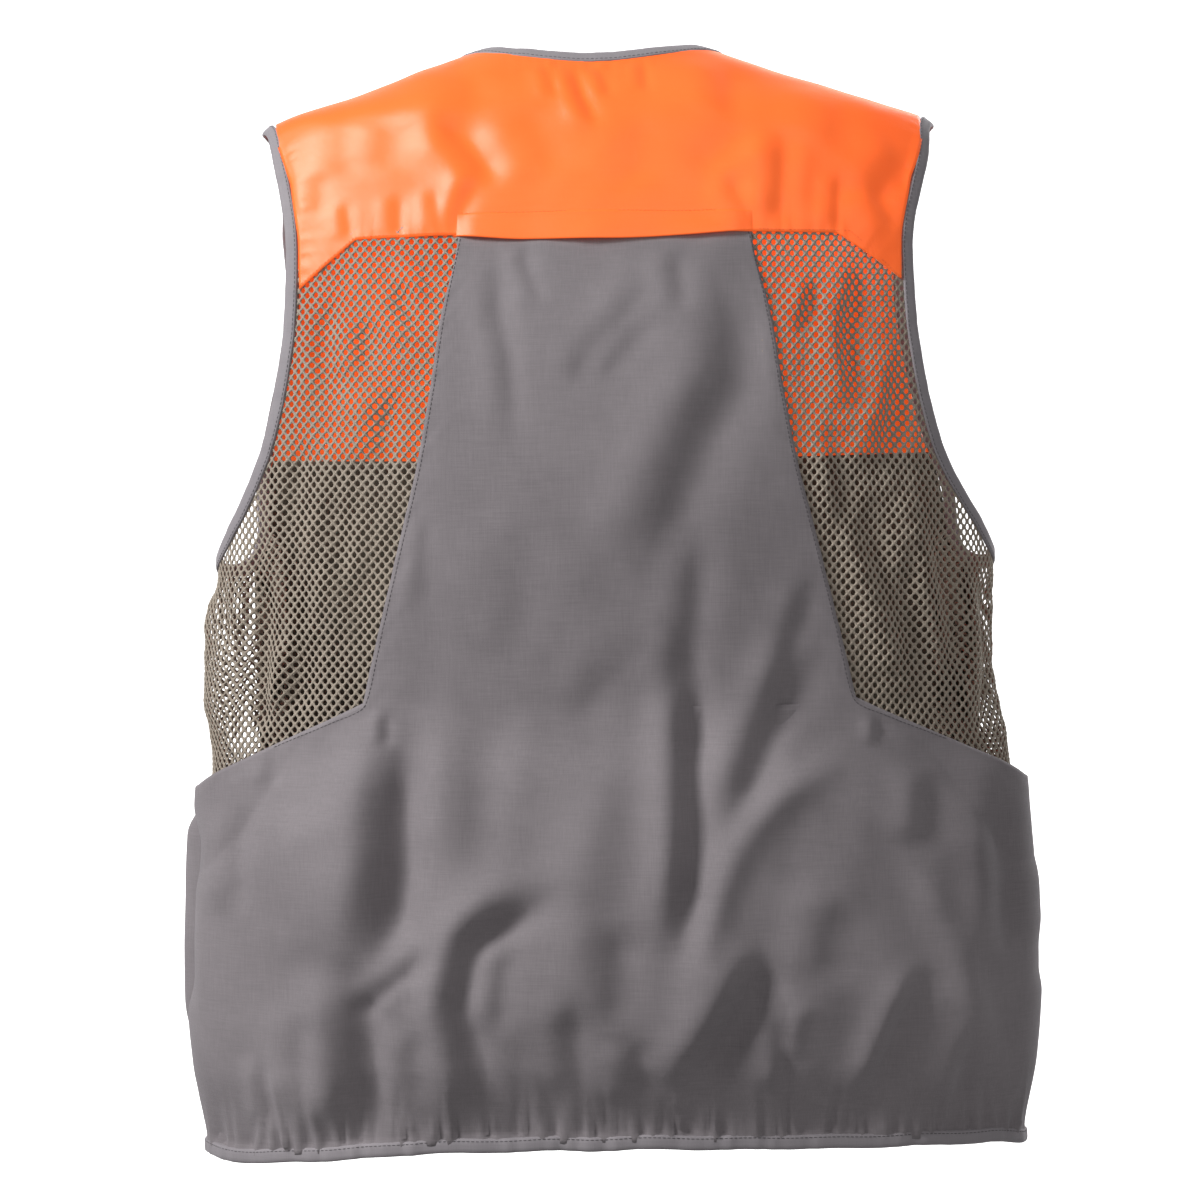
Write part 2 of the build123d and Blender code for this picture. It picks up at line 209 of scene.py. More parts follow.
def round_at(turn, z, bag=0.0):
    """Distance round the vest at a turn angle."""
    turn, z = np.broadcast_arrays(np.asarray(turn, float), np.asarray(z, float))
    table = ROUND[bag]
    low, share = table_rows(z)
    out = np.empty(turn.size)
    for k, t in enumerate(turn.ravel()):
        below = np.interp(t, TURN_STEPS, table[low[k]])
        above = np.interp(t, TURN_STEPS, table[low[k] + 1])
        out[k] = below * (1 - share[k]) + above * share[k]
    return out.reshape(turn.shape)


def unroll(points, front=False, bag=0.0):
    """Outline points (x, height) as (distance round, height)."""
    points = np.asarray(points, float)
    half_width = section(points[:, 1], bag)[0]
    turn = np.arcsin(np.clip(np.abs(points[:, 0]) / half_width, 0, 1))
    if front:
        turn = math.pi - turn
    sign = np.where(points[:, 0] < 0, -1, 1)
    return np.stack([sign * round_at(turn, points[:, 1], bag), points[:, 1]], 1)


def skin(u, z, off=0.0, bag=0.0, share=None):
    """Points and outward normals on the body's surface, moved out by off. share is the part of the bag's
    puff."""
    u, z = np.broadcast_arrays(np.asarray(u, float), np.asarray(z, float))
    turn = turn_at(u, z, bag)
    side = np.where(u < 0, -1.0, 1.0)
    share = bag if share is None else share
    a, back, front = section(z, share)
    more = 1.0
    a2, back2, front2 = section(z + more, share)
    behind = turn < math.pi / 2
    depth, depth2 = np.where(behind, back, front), np.where(behind, back2, front2)
    sin, cos = np.sin(turn), np.cos(turn)
    point = np.stack([side * a * sin, depth * cos, z], -1)
    round_way = np.stack([side * a * cos, -depth * sin, np.zeros_like(z)], -1)
    up_way = np.stack([side * (a2 - a) * sin, (depth2 - depth) * cos, np.full_like(z, more)], -1)
    normal = np.cross(up_way, round_way) * side[..., None]
    normal /= np.linalg.norm(normal, axis=-1, keepdims=True)
    return point + normal * np.asarray(off)[..., None], normal


# ---------------------------------------------------------------- how it hangs, and meshes
# place across the back, how far the elastic lifts the hem there
HEM_LIFT = np.array([
    (-268, 3), (-240, 7), (-128, 12), (0, 15), (105, 13), (151, 9), (190, 5), (245, 0), (268, 0),
], float)


def hang(points):
    """How the cloth hangs: the elastic draws the back of the hem up, the -X side is slimmer, the neck leans
    to +X and dips at its middle, and the front spreads a little at the armholes."""
    points = np.array(points, float)
    x, y, z = points[..., 0].copy(), points[..., 1], points[..., 2]
    behind = step(y, 0, 45)
    lift = smooth(np.clip(x, -268, 268), HEM_LIFT[:, 0], HEM_LIFT[:, 1])
    points[..., 2] = z + lift * behind * step(170 - z, 0, 165)
    slim = 4.5 * step(-x, 90, 240) * step(z, 240, 300) * step(640 - z, 0, 60)
    forward = step(-y, 8, 50) * step(np.abs(x), 110, 212) * step(z, 375, 450) * step(652 - z, 0, 60)
    slim_arm = 3.5 * step(-x, 90, 230) * step(z, 400, 450) * step(700 - z, 0, 50)
    points[..., 0] = x + slim * step(y, -60, 20) + slim_arm + 6.5 * step(z, 640, 712)
    spread = 5 + 11 * step(575 - z, 0, 120) - 8.5 * (x < 0) * step(z, 420, 480)
    points[..., 0] += spread * forward * np.sign(x)
    points[..., 1] = y + 6 * forward
    points[..., 2] -= 4.5 * np.exp(-((x / 42) ** 2)) * step(z, 680, 712) * step(y, 5, 25)
    return points


def place(points):
    """Garment millimetres to row metres."""
    return (hang(points) + np.array([0, ORIGIN_Y, ORIGIN_Z])) / 1000


def add_object(name, points, faces, material, smooth_faces=True):
    """A mesh object from points in row metres."""
    mesh = bpy.data.meshes.new(name)
    mesh.from_pydata([tuple(p) for p in points], [], [tuple(int(i) for i in f) for f in faces])
    mesh.materials.append(material)
    if smooth_faces:
        mesh.shade_smooth()
    obj = bpy.data.objects.new(name, mesh)
    bpy.context.scene.collection.objects.link(obj)
    return obj


def thicken(obj, thickness, offset=-1):
    """Gives a sheet a cloth's thickness in mm, inwards unless offset says otherwise."""
    solid = obj.modifiers.new("cloth", "SOLIDIFY")
    solid.thickness = thickness / 1000
    solid.offset = offset


def new_mesh(name, points, faces, material, body, replaces=(), thickness=0.0, smooth_faces=True):
    """A piece of the vest from garment points, on its body and standing for its CAD nodes."""
    obj = add_object(name, place(points), faces, material, smooth_faces)
    obj.data.validate()
    if thickness:
        thicken(obj, thickness)
    if replaces:
        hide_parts(*replaces)
    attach(obj, body)
    return obj


def grid_faces(rows, columns, flip=False):
    """Quads of a grid of points, row by row."""
    index = np.arange(rows * columns).reshape(rows, columns)
    quads = np.stack([index[:-1, :-1], index[:-1, 1:], index[1:, 1:], index[1:, :-1]], -1).reshape(-1, 4)
    return quads[:, ::-1] if flip else quads


def ring_faces(rings, sides, first=0, closed=False):
    """Quads between rings of points, with a cap on each end unless the last ring joins the first."""
    index = first + np.arange(rings * sides).reshape(rings, sides)
    here = index if closed else index[:-1]
    ahead = np.roll(index, -1, 0) if closed else index[1:]
    quads = np.stack([here, np.roll(here, -1, 1), np.roll(ahead, -1, 1), ahead], -1).reshape(-1, 4)
    return list(quads) if closed else [*quads, index[0][::-1], index[-1]]


def coons(bottom, top, left, right, rows, columns):
    """A grid of (u, z) places that fills four boundary lines. Bottom and top run left to right."""
    bottom, top = resample(bottom, count=columns), resample(top, count=columns)
    left, right = resample(left, count=rows), resample(right, count=rows)
    s = np.linspace(0, 1, columns)[None, :, None]
    t = np.linspace(0, 1, rows)[:, None, None]
    sides = (1 - s) * left[:, None] + s * right[:, None]
    ends = (1 - t) * bottom[None] + t * top[None]
    corners = (1 - s) * (1 - t) * bottom[0] + s * (1 - t) * bottom[-1]
    corners = corners + (1 - s) * t * top[0] + s * t * top[-1]
    return sides + ends - corners


def distance_to(line, x, z, sided=False):
    """Distance from each (x, z) to a polyline, how far along it the nearest place is, and if asked which
    side of it."""
    line = np.asarray(line, float)
    best = np.full(np.shape(x), 1e9)
    along = np.zeros(np.shape(x))
    side = np.ones(np.shape(x))
    done = 0.0
    for (x0, z0), (x1, z1) in zip(line, line[1:]):
        dx, dz = x1 - x0, z1 - z0
        size = math.hypot(dx, dz)
        t = np.clip(((x - x0) * dx + (z - z0) * dz) / size**2, 0, 1)
        gap = np.hypot(x - x0 - t * dx, z - z0 - t * dz)
        closer = gap < best
        best = np.where(closer, gap, best)
        along = np.where(closer, done + t * size, along)
        side = np.where(closer, np.sign((z - z0) * dx - (x - x0) * dz), side)
        done += size
    return (best, along / done, side) if sided else (best, along / done)


def ridge(x, z, line, width, height):
    """A round ridge along a polyline that fades over its first and last quarter."""
    gap, along = distance_to(along_line(line, 8), x, z)
    return height * np.exp(-((gap / width) ** 2)) * step(along, 0, 0.25) * step(1 - along, 0, 0.25)


def puckers(along, away, pitch, depth, reach, seed):
    """Gathers that run away from a seam: uneven in spacing, depth and length."""
    phase = along / pitch + 0.45 * noise(along / (4 * pitch), seed)
    size = depth * (0.62 + 0.38 * noise(along / (2.3 * pitch), seed + 1))
    long = reach * (1.0 + 0.5 * noise(along / (1.7 * pitch), seed + 2))
    crest = 1 - 2 * np.abs(np.sin(math.pi * phase)) ** 0.8
    return size * crest * np.exp(-np.clip(away, 0, None) / long)


# ---------------------------------------------------------------- materials
class Nodes:
    """A short way to write a material's node tree."""

    def __init__(self, name, colour, roughness):
        self.material = bpy.data.materials.new(name)
        self.material.use_nodes = True
        self.tree = self.material.node_tree
        self.shader = self.tree.nodes["Principled BSDF"]
        self.shader.inputs["Base Color"].default_value = (*colour, 1)
        self.shader.inputs["Roughness"].default_value = roughness
        self.spot = self.add("ShaderNodeNewGeometry").outputs["Position"]

    def add(self, kind, **values):
        node = self.tree.nodes.new(kind)
        for key, value in values.items():
            setattr(node, key, value)
        return node

    def link(self, source, target):
        self.tree.links.new(source, target)

    def math(self, operation, a, b):
        node = self.add("ShaderNodeMath", operation=operation)
        for socket, value in zip(node.inputs, (a, b)):
            if isinstance(value, (int, float)):
                socket.default_value = value
            else:
                self.link(value, socket)
        return node.outputs[0]

    def noise(self, scale, detail, rough, stretch=None):
        node = self.add("ShaderNodeTexNoise")
        node.inputs["Scale"].default_value = scale
        node.inputs["Detail"].default_value = detail
        node.inputs["Roughness"].default_value = rough
        spot = self.spot
        if stretch:
            mapping = self.add("ShaderNodeMapping")
            mapping.inputs["Scale"].default_value = stretch
            self.link(spot, mapping.inputs["Vector"])
            spot = mapping.outputs[0]
        self.link(spot, node.inputs["Vector"])
        return node.outputs["Fac"]

    def wave(self, axis, scale, distortion, detail=0.0, detail_scale=1.0):
        node = self.add("ShaderNodeTexWave", bands_direction=axis)
        node.inputs["Scale"].default_value = scale
        node.inputs["Distortion"].default_value = distortion
        node.inputs["Detail"].default_value = detail
        node.inputs["Detail Scale"].default_value = detail_scale
        self.link(self.spot, node.inputs["Vector"])
        return node.outputs["Fac"]

    def ramp(self, value, stops):
        node = self.add("ShaderNodeValToRGB")
        ramp = node.color_ramp
        while len(ramp.elements) < len(stops):
            ramp.elements.new(0.5)
        for element, (at, colour) in zip(ramp.elements, stops):
            element.position = at
            element.color = (*colour, 1)
        self.link(value, node.inputs["Fac"])
        return node.outputs["Color"]

    def mix(self, share, a, b):
        node = self.add("ShaderNodeMix", data_type="RGBA")
        for socket, value in zip((node.inputs["Factor"], node.inputs[6], node.inputs[7]), (share, a, b)):
            if isinstance(value, (int, float)):
                socket.default_value = value
            elif isinstance(value, tuple):
                socket.default_value = (*value, 1)
            else:
                self.link(value, socket)
        return node.outputs[2]

    def bump(self, height, strength, distance):
        node = self.add("ShaderNodeBump")
        node.inputs["Strength"].default_value = strength
        node.inputs["Distance"].default_value = distance
        self.link(height, node.inputs["Height"])
        self.link(node.outputs["Normal"], self.shader.inputs["Normal"])

    def colour(self, value):
        self.link(value, self.shader.inputs["Base Color"])

    def roughness(self, value):
        self.link(value, self.shader.inputs["Roughness"])

    def sheen(self, weight, roughness, tint):
        self.shader.inputs["Sheen Weight"].default_value = weight
        self.shader.inputs["Sheen Roughness"].default_value = roughness
        self.shader.inputs["Sheen Tint"].default_value = (*tint, 1)


def woven(name, dark, light, thread, roughness, bump, slub, sheen, painted_glow=0.0):
    """Plain weave: crossing threads with small uneven slubs, and a slow change of tone across the cloth.
    The last argument is painted light: an even emission in the dark colour that lifts the cloth's shaded
    parts."""
    n = Nodes(name, light, roughness)
    rate = 1 / thread / 2
    across = n.wave("X", rate, 1.2, 2.0, 1.5)
    up = n.wave("Z", rate, 1.2, 2.0, 1.5)
    weave = n.math("MULTIPLY", across, up)
    long_x = n.noise(1.0, 3.0, 0.6, (60, 60, 2200))
    long_z = n.noise(1.0, 3.0, 0.6, (2200, 700, 60))
    slubs = n.math("ADD", n.math("MULTIPLY", long_x, 0.5), n.math("MULTIPLY", long_z, 0.5))
    slow = n.noise(9.0, 2.0, 0.5)
    tone = n.math("ADD", n.math("MULTIPLY", slubs, slub), n.math("MULTIPLY", slow, 1 - slub))
    base = n.ramp(tone, [(0.3, dark), (0.7, light)])
    n.colour(n.mix(n.math("MULTIPLY", weave, 0.35), base, tuple(c * 0.72 for c in dark)))
    n.roughness(n.math("ADD", n.math("MULTIPLY", slubs, 0.2), roughness - 0.1))
    n.bump(n.math("ADD", weave, n.math("MULTIPLY", slubs, 0.8)), bump, 0.0002)
    n.sheen(*sheen)
    # Painted light: an even emission in the dark colour lifts the cloth's shade.
    n.shader.inputs["Emission Color"].default_value = (*dark, 1)
    n.shader.inputs["Emission Strength"].default_value = painted_glow
    return n.material


def srgb(*channels):
    """A display colour, 0 to 255, as the linear colour that the shaders take."""
    shares = [c / 255 for c in channels]
    return tuple(c / 12.92 if c <= 0.04045 else ((c + 0.055) / 1.055) ** 2.4 for c in shares)


# The orange cloth's last value, 0.36, is painted light: an emission that lifts its shaded folds.
ORANGE = woven("orange_satin", srgb(255, 98, 30), srgb(255, 118, 50), 0.00042, 0.4, 0.18, 0.3,
               (0.5, 0.3, srgb(255, 205, 170)), 0.36)
GREY = woven("grey_plain_weave", srgb(106, 100, 103), srgb(142, 135, 138), 0.0005, 0.78, 0.45, 0.6,
             (0.25, 0.5, srgb(220, 215, 220)))
OLIVE = woven("olive_plain_weave", srgb(64, 62, 50), srgb(80, 76, 62), 0.0005, 0.8, 0.4, 0.5,
              (0.1, 0.5, (1, 1, 1)))
TAPE = woven("binding_weave", srgb(126, 121, 125), srgb(150, 144, 148), 0.00035, 0.72, 0.35, 0.5,
             (0.3, 0.45, srgb(230, 225, 230)))
DARK_TAPE = woven("zip_tape_weave", srgb(58, 56, 56), srgb(76, 73, 73), 0.0006, 0.8, 0.6, 0.4,
                  (0.1, 0.5, (1, 1, 1)))


def net_material():
    """Pale knitted strands with a slow change of tone."""
    n = Nodes("net_knit", srgb(150, 138, 124), 0.75)
    strands = n.noise(1.0, 2.0, 0.6, (2600, 2600, 1100))
    slow = n.noise(14.0, 2.0, 0.5)
    base = n.ramp(strands, [(0.25, srgb(112, 101, 88)), (0.6, srgb(165, 153, 139))])
    n.colour(n.mix(n.math("MULTIPLY", slow, 0.35), base, srgb(122, 112, 98)))
    n.bump(strands, 0.6, 0.0004)
    n.sheen(0.25, 0.5, srgb(230, 225, 215))
    return n.material


NET = net_material()


def thread_material(name, colour):
    """Twisted sewing thread."""
    n = Nodes(name, colour, 0.6)
    twist = n.wave("DIAGONAL", 900, 0.5)
    n.colour(n.mix(n.math("MULTIPLY", twist, 0.5), colour, tuple(c * 0.55 for c in colour)))
    n.bump(twist, 0.5, 0.0001)
    return n.material


def ribbed_elastic():
    """Dark woven elastic with ribs along it."""
    n = Nodes("ribbed_elastic", srgb(40, 39, 40), 0.75)
    ribs = n.wave("Z", 900, 0.6, 1.0)
    n.colour(n.mix(n.math("MULTIPLY", ribs, 0.5), srgb(34, 33, 34), srgb(62, 60, 61)))
    n.bump(ribs, 0.7, 0.0002)
    return n.material


def cast_metal(name, colour, roughness):
    """Plated die casting: a fine grain, slow cloudy changes of tone and small worn spots."""
    n = Nodes(name, colour, roughness)
    grain = n.noise(2600, 3.0, 0.6)
    cloud = n.noise(160, 3.0, 0.5)
    worn = n.ramp(n.noise(520, 2.0, 0.5), [(0.56, (0, 0, 0)), (0.66, (1, 1, 1))])
    base = n.mix(n.math("MULTIPLY", cloud, 0.5), colour, tuple(c * 0.7 for c in colour))
    n.colour(n.mix(n.math("MULTIPLY", worn, 0.3), base, tuple(min(1, c * 1.5) for c in colour)))
    n.roughness(n.math("ADD", n.math("MULTIPLY", cloud, 0.25), roughness - 0.1))
    n.bump(n.math("ADD", grain, n.math("MULTIPLY", cloud, 0.5)), 0.25, 0.0001)
    n.shader.inputs["Metallic"].default_value = 1.0
    return n.material


def moulded_plastic(name, colour):
    """Matt moulded plastic with a fine grain and faint flow marks."""
    n = Nodes(name, colour, 0.42)
    grain = n.noise(1900, 2.0, 0.5)
    flow = n.noise(240, 2.0, 0.5, (1, 1, 0.3))
    n.colour(n.mix(n.math("MULTIPLY", flow, 0.6), colour, tuple(c * 1.7 + 0.01 for c in colour)))
    n.roughness(n.math("ADD", n.math("MULTIPLY", grain, 0.2), 0.34))
    n.bump(grain, 0.2, 0.0001)
    return n.material


ELASTIC = ribbed_elastic()
ZIP_METAL = cast_metal("zip_metal_plated", srgb(112, 110, 108), 0.38)
SNAP_METAL = cast_metal("snap_metal_antique", srgb(96, 92, 88), 0.34)
TEETH_PLASTIC = moulded_plastic("zip_teeth_plastic", srgb(46, 45, 46))
GREY_THREAD = thread_material("grey_thread", srgb(82, 78, 82))
ORANGE_THREAD = thread_material("orange_thread", srgb(226, 120, 62))


def panel(name, grid, material, replaces, shape, thickness=0.9, body="vest",
          flip=False):
    """A panel on the body's skin. shape gives each place's distance off the skin and its share of the
    bag's puff."""
    u, z = grid[..., 0], grid[..., 1]
    base, _ = skin(u, z)
    off, puff = shape(u, z, base[..., 0], base[..., 1])
    points, _ = skin(u, z, off, share=puff)
    faces = grid_faces(*grid.shape[:2], flip)
    obj = new_mesh(name, points.reshape(-1, 3), faces, material, body, replaces, thickness)
    return obj


# Leaning folds: places (x, height) drawn downwards, half width, and height of the crest on the +X side.
YOKE_FOLDS = [
    ([(112, 668), (101, 654), (88, 639), (70, 612)], 9, 3.6),
    ([(80, 702), (90, 674), (97, 645)], 13, 2.0), ([(164, 676), (172, 649), (170, 620)], 11, 1.2),
    ([(187, 636), (186, 600)], 7, 1.0), ([(168, 615), (164, 586)], 4, 0.9),
    ([(134, 618), (134, 586)], 4.5, 0.9), ([(110, 622), (108, 586)], 4.5, 1.1),
    ([(80, 630), (94, 605), (103, 580)], 5.5, 1.6), ([(16, 706), (14, 682), (5, 652)], 5, 2.0),
    ([(32, 704), (29, 674)], 4, 1.1), ([(-1, 704), (-5, 674)], 4, 1.2), ([(56, 672), (36, 620)], 11, 1.3),
    ([(-82, 706), (-73, 660)], 11, 2.0), ([(-106, 652), (-82, 637), (-56, 618)], 8, -1.2),
    ([(-110, 660), (-107, 624), (-101, 586)], 8, 2.8), ([(-72, 626), (-84, 604), (-93, 584)], 6, 1.5),
    ([(-148, 630), (-145, 586)], 5, 1.3), ([(-196, 646), (-164, 610)], 9, 1.8),
    ([(-129, 652), (-126, 596)], 10, 1.4), ([(-170, 622), (-186, 584)], 7, 1.5),
    ([(-30, 706), (-28, 678)], 4, 1.0), ([(-20, 668), (-12, 615)], 13, 1.2),
    ([(140, 668), (148, 630)], 12, 1.1), ([(-150, 684), (-138, 640)], 12, 1.3),
    ([(10, 640), (-10, 606)], 14, 0.8),
]
BAG_FOLDS = [
    ([(139, 290), (142, 234), (143, 204), (149, 171), (155, 118)], 13.5, 9.5),
    ([(177, 140), (168, 99), (166, 62), (167, 6)], 12.5, 6.6),
    ([(112, 150), (142, 119), (172, 97)], 6.5, 2.0),
    ([(28, 192), (54, 172), (76, 162), (92, 147), (98, 125), (102, 101), (97, 76), (92, 54), (89, 14)],
     9, 5.4),
    ([(64, 152), (75, 123), (77, 76)], 7.5, 1.6), ([(248, 232), (246, 198), (241, 156)], 7.5, 2.6),
    ([(143, 291), (146, 266)], 3.6, 1.5), ([(225, 268), (226, 240)], 4, 1.2),
    ([(-2, 168), (6, 133), (8, 80)], 13, 3.0), ([(228, 74), (225, 45), (222, 20)], 5, 1.8),
    ([(200, 110), (203, 70), (198, 30)], 9, 2.0),
    ([(-39, 342), (-45, 296), (-44, 260), (-43, 217), (-40, 175), (-35, 120)], 9, 5.4),
    ([(-128, 336), (-97, 287), (-84, 259), (-64, 208)], 10, 3.2),
    ([(-92, 148), (-74, 106), (-58, 76), (-36, 34)], 11, 6.0),
    ([(-197, 130), (-178, 92), (-165, 60), (-153, 26)], 7.5, 4.0), ([(-168, 283), (-172, 266)], 4, 1.3),
    ([(-93, 92), (-101, 61), (-101, 36)], 6, 2.2), ([(-246, 236), (-243, 172), (-245, 112)], 11, 3.2),
    ([(74, 582), (72, 540), (66, 511), (62, 450)], 7, 1.6),
    ([(-30, 562), (-1, 531), (13, 516), (30, 480)], 7, 1.0), ([(-36, 540), (-8, 516), (12, 488)], 7, 0.8),
    ([(-62, 585), (-70, 503), (-49, 463), (-35, 426), (-8, 350)], 15, 3.4),
    ([(-50, 410), (-45, 345), (-24, 290)], 10, 2.4), ([(-126, 378), (-112, 338), (-95, 288)], 7, 1.5),
    ([(52, 434), (24, 394), (-8, 356)], 11, 1.0), ([(-40, 580), (-43, 532)], 6.5, 1.0),
    ([(119, 420), (120, 346)], 6.5, 0.9), ([(-26, 346), (34, 282)], 10, 0.9),
    ([(56, 584), (51, 561), (40, 540)], 5, 1.1), ([(96, 300), (92, 240), (100, 180)], 15, 2.4),
    ([(-140, 180), (-128, 150), (-122, 110)], 14, 2.6), ([(-205, 250), (-196, 222), (-190, 196)], 9, 2.0),
    ([(30, 120), (32, 80), (26, 30)], 8, 1.8), ([(-8, 80), (-12, 30)], 8, 1.6),
    ([(-225, 90), (-216, 50), (-210, 20)], 7, 2.0), ([(128, 90), (132, 60), (126, 30)], 8, 1.5),
    ([(60, 420), (66, 370), (60, 320)], 14, 1.3),
]
# Round ridges: places (x, height), half width, height.
BAG_RIDGES = [
    ([(150, 98), (136, 112), (126, 122)], 6, 2.0),
    ([(-160, 262), (-125, 246), (-99, 229), (-81, 208), (-66, 179), (-54, 142), (-38, 92)], 11, 4.6),
    ([(-180, 204), (-202, 164), (-222, 108), (-240, 36)], 12, 4.4),
    ([(-118, 106), (-110, 82), (-106, 56)], 6.5, 1.8), ([(205, 236), (196, 180), (206, 120)], 20, 3.0),
]


def lean_fold(x, z, line, width, height):
    """A fold that leans: a crest on the +X side of its line, a steep drop along the line and a valley beyond
    it. It fades over its first and last third."""
    line = along_line(line, 8)
    gap, along, side = distance_to(line, x, z, sided=True)
    ends = step(along, 0, 0.32) * step(1 - along, 0, 0.32)
    t = side * gap / (width * np.where(side > 0, 1.25, 1.0))
    return height * 1.65 * t * np.exp(-t * t / 2) * ends


def sum_folds(x, z, folds):
    """All the leaning folds of a table together."""
    total = np.zeros(np.shape(x))
    for line, width, height in folds:
        total += lean_fold(x, z, line, width, height)
    return total


def yoke_relief(x, z):
    """Folds and puckers of the yoke, seen from behind."""
    relief = 0.85 * sum_folds(x, z, YOKE_FOLDS)
    neck_gap, neck_along = distance_to(along_line(NECK_BACK, 6), x, z)
    middle = np.exp(-((x - 6) / 38) ** 2)
    relief += middle * puckers(neck_along * 150, neck_gap - NECK_BINDING, 8.0, 1.5, 9, 21)
    for side, seed in ((1, 31), (-1, 41)):
        arm_gap, arm_along = distance_to(along_line(ARM_EDGE_BACK, 6), x * side, z)
        relief += puckers(arm_along * 300, arm_gap - BINDING, 9, 0.9, 6, seed)
        seam_gap, seam_along = distance_to(YOKE_BOTTOM[:3], x * side, z)
        relief += step(x * side, 92, 104) * puckers(seam_along * 110, seam_gap, 10, 0.55, 11, seed + 5)
    relief += 0.7 * ripples(x, z, 95, 5) + 0.12 * ripples(x, z, 30, 6)
    arm_gap, _ = distance_to(along_line(ARM_EDGE_BACK, 6), np.abs(x), z)
    return relief * step(np.minimum(neck_gap - NECK_BINDING, arm_gap - BINDING), -1, 5)


def shoulder_seam():
    """Where the back meets the front, as outline points from the armhole up to the neck."""
    z = np.linspace(675, 716.5, 16)
    return np.stack([section(z)[0], z], 1)


def back_yoke():
    """The orange yoke, from the neck and shoulder seams down to its straight lower edge."""
    seam = shoulder_seam()
    left = unroll([(194.5, 558), (195, 590), (200.5, 627), (210, 655), (210, 668), seam[0]])
    right_edge = [(-194.5, 560), (-195, 590), (-200.5, 627), (-210, 655), (-210, 668), seam[0] * (-1, 1)]
    right = unroll(right_edge)
    bottom = unroll(YOKE_BOTTOM)
    shoulder = unroll(seam)
    neck = unroll([(73, 717.5), (40, 712), (0, 710.5), (-40, 712), (-73, 717.5)])
    top = np.vstack([shoulder, neck, (shoulder * (-1, 1))[::-1]])
    grid = coons(bottom, top, left, right, 60, 180)

    def shape(u, z, x, y):
        return yoke_relief(x, z) * step(y, 0, 16), None

    return panel("yoke_cloth", grid, ORANGE, ["back_yoke"], shape, flip=True)


FLAP_HALF, FLAP_TOP, FLAP_LOW = 95.5, 604.0, 584.0


def vent_flap():
    """The yoke's free lower edge, which leaves the yoke at its stitch line and stands proud of the panel
    below."""
    edge = [(FLAP_HALF, 3.5), (50, 0), (0, -0.5), (-50, 1.5), (-FLAP_HALF, 5)]
    sewn_edge = [(FLAP_HALF, 0), (40, -2), (0, -2.5), (-40, -2), (-FLAP_HALF, 0)]
    bottom = along_line(unroll(np.array(edge) + (0, FLAP_LOW)), 3)
    top = unroll(np.array(sewn_edge) + (0, FLAP_TOP))
    grid = coons(bottom, top, [bottom[0], top[0]], [bottom[-1], top[-1]], 22, 150)

    def shape(u, z, x, y):
        down = step(FLAP_TOP - 2 - z, 0, 17)
        ends = step(FLAP_HALF - np.abs(x), 1, 16)
        sewn = np.minimum(step(FLAP_TOP - 1 - z, 0, 2.6), step(FLAP_HALF - np.abs(x), 0, 5))
        wave = 1.0 + 0.35 * ripples(x, z, 60, 8, 0.0, 0.3)
        return yoke_relief(x, z) * (1 - 0.4 * down * ends) - 0.9 + 1.1 * sewn + 1.7 * down * wave * ends, None

    return panel("vent_flap_cloth", grid, ORANGE, ["vent_flap"], shape, 1.1, "vent_flap",
                 True)


BAG_LOW = HEM_WIDTH - 4  # the bag's cloths end inside the hem binding


def side_distance(z, bag=0.0):
    """Distance round the vest from the centre back to the side."""
    return round_at(np.full(np.shape(z), math.pi / 2), z, bag)


def entry_gap(z, side):
    """How far the bag's side edge stands back at the side entry, which hangs open on the +X side."""
    if side > 0:
        return 15 * step(z, 88, 120) * step(228 - z, 0, 30)
    return 5 * step(z, 98, 116) * step(150 - z, 0, 22)


def bag_side_line(side, low, high, count):
    """The bag's side edge, a little behind the side seam, as (u, z)."""
    z = np.linspace(low, high, count)
    back = section(z, 1.0)[1]
    u = round_at(np.arccos(10 / back), z, 1.0) - entry_gap(z, side)
    return np.stack([u, z], 1)


def bag_relief(x, z):
    """Folds of the centre panel and the bag, and the hem's gathers."""
    relief = (1.05 + 0.2 * step(330 - z, 0, 60)) * sum_folds(x, z, BAG_FOLDS)
    for line, width, height in BAG_RIDGES:
        relief += ridge(x, z, line, width, height)
    above_hem = z - HEM_WIDTH
    relief += puckers(x + 0.25 * above_hem * noise(x / 45, 71, 2), above_hem, 10.5, 3.8, 15, 61)
    relief += 0.6 * puckers(x, above_hem, 27, 2.2, 26, 62)
    low = step(300 - z, 0, 90)
    relief += (0.35 + 0.7 * low) * ripples(x, z * 0.6, 66, 64, 0.15, 1.2) + 0.14 * ripples(x, z, 27, 65)
    return relief


def bag_shape(u, z, x, y):
    """Distance off the skin, and the share of the bag's puff: none along the slanted seams, all of it below
    them."""
    line_gap, _ = distance_to(BAG_EDGE, np.abs(x), z)
    side = step(np.abs(x), 200, 268)
    puff = np.maximum(step(line_gap, 0, 70), 0.85 * side)
    edge_gap, _ = distance_to(PANEL_EDGE + BAG_EDGE[1:], np.abs(x), z)
    calm = step(edge_gap, 0, 13) * step(PANEL_TOP + 4 - z, 0, 16)
    seam_puckers = puckers(z * 0.9 + np.abs(x), edge_gap, 15, 0.5, 8, 67)
    hem = step(z - HEM_WIDTH, 0, 1.5)
    side_calm = 1 - 0.6 * step(np.abs(x), 252, 275)
    tuck = -1.6 * step(z, 580, 592)
    swell = 3.0 * step(PANEL_TOP - z, 10, 90) * np.exp(-((x / 70) ** 2)) * step(z, 260, 340)
    relief = (bag_relief(x, z) + swell) * (0.12 + 0.88 * calm) * side_calm
    off = 1.0 + (relief + seam_puckers) * (0.25 + 0.75 * hem) + tuck
    lowest = -0.4 - 14 * step(z, 296, 330) - 14 * puff
    return 0.5 * (off + lowest + np.sqrt((off - lowest) ** 2 + 1.0)), puff


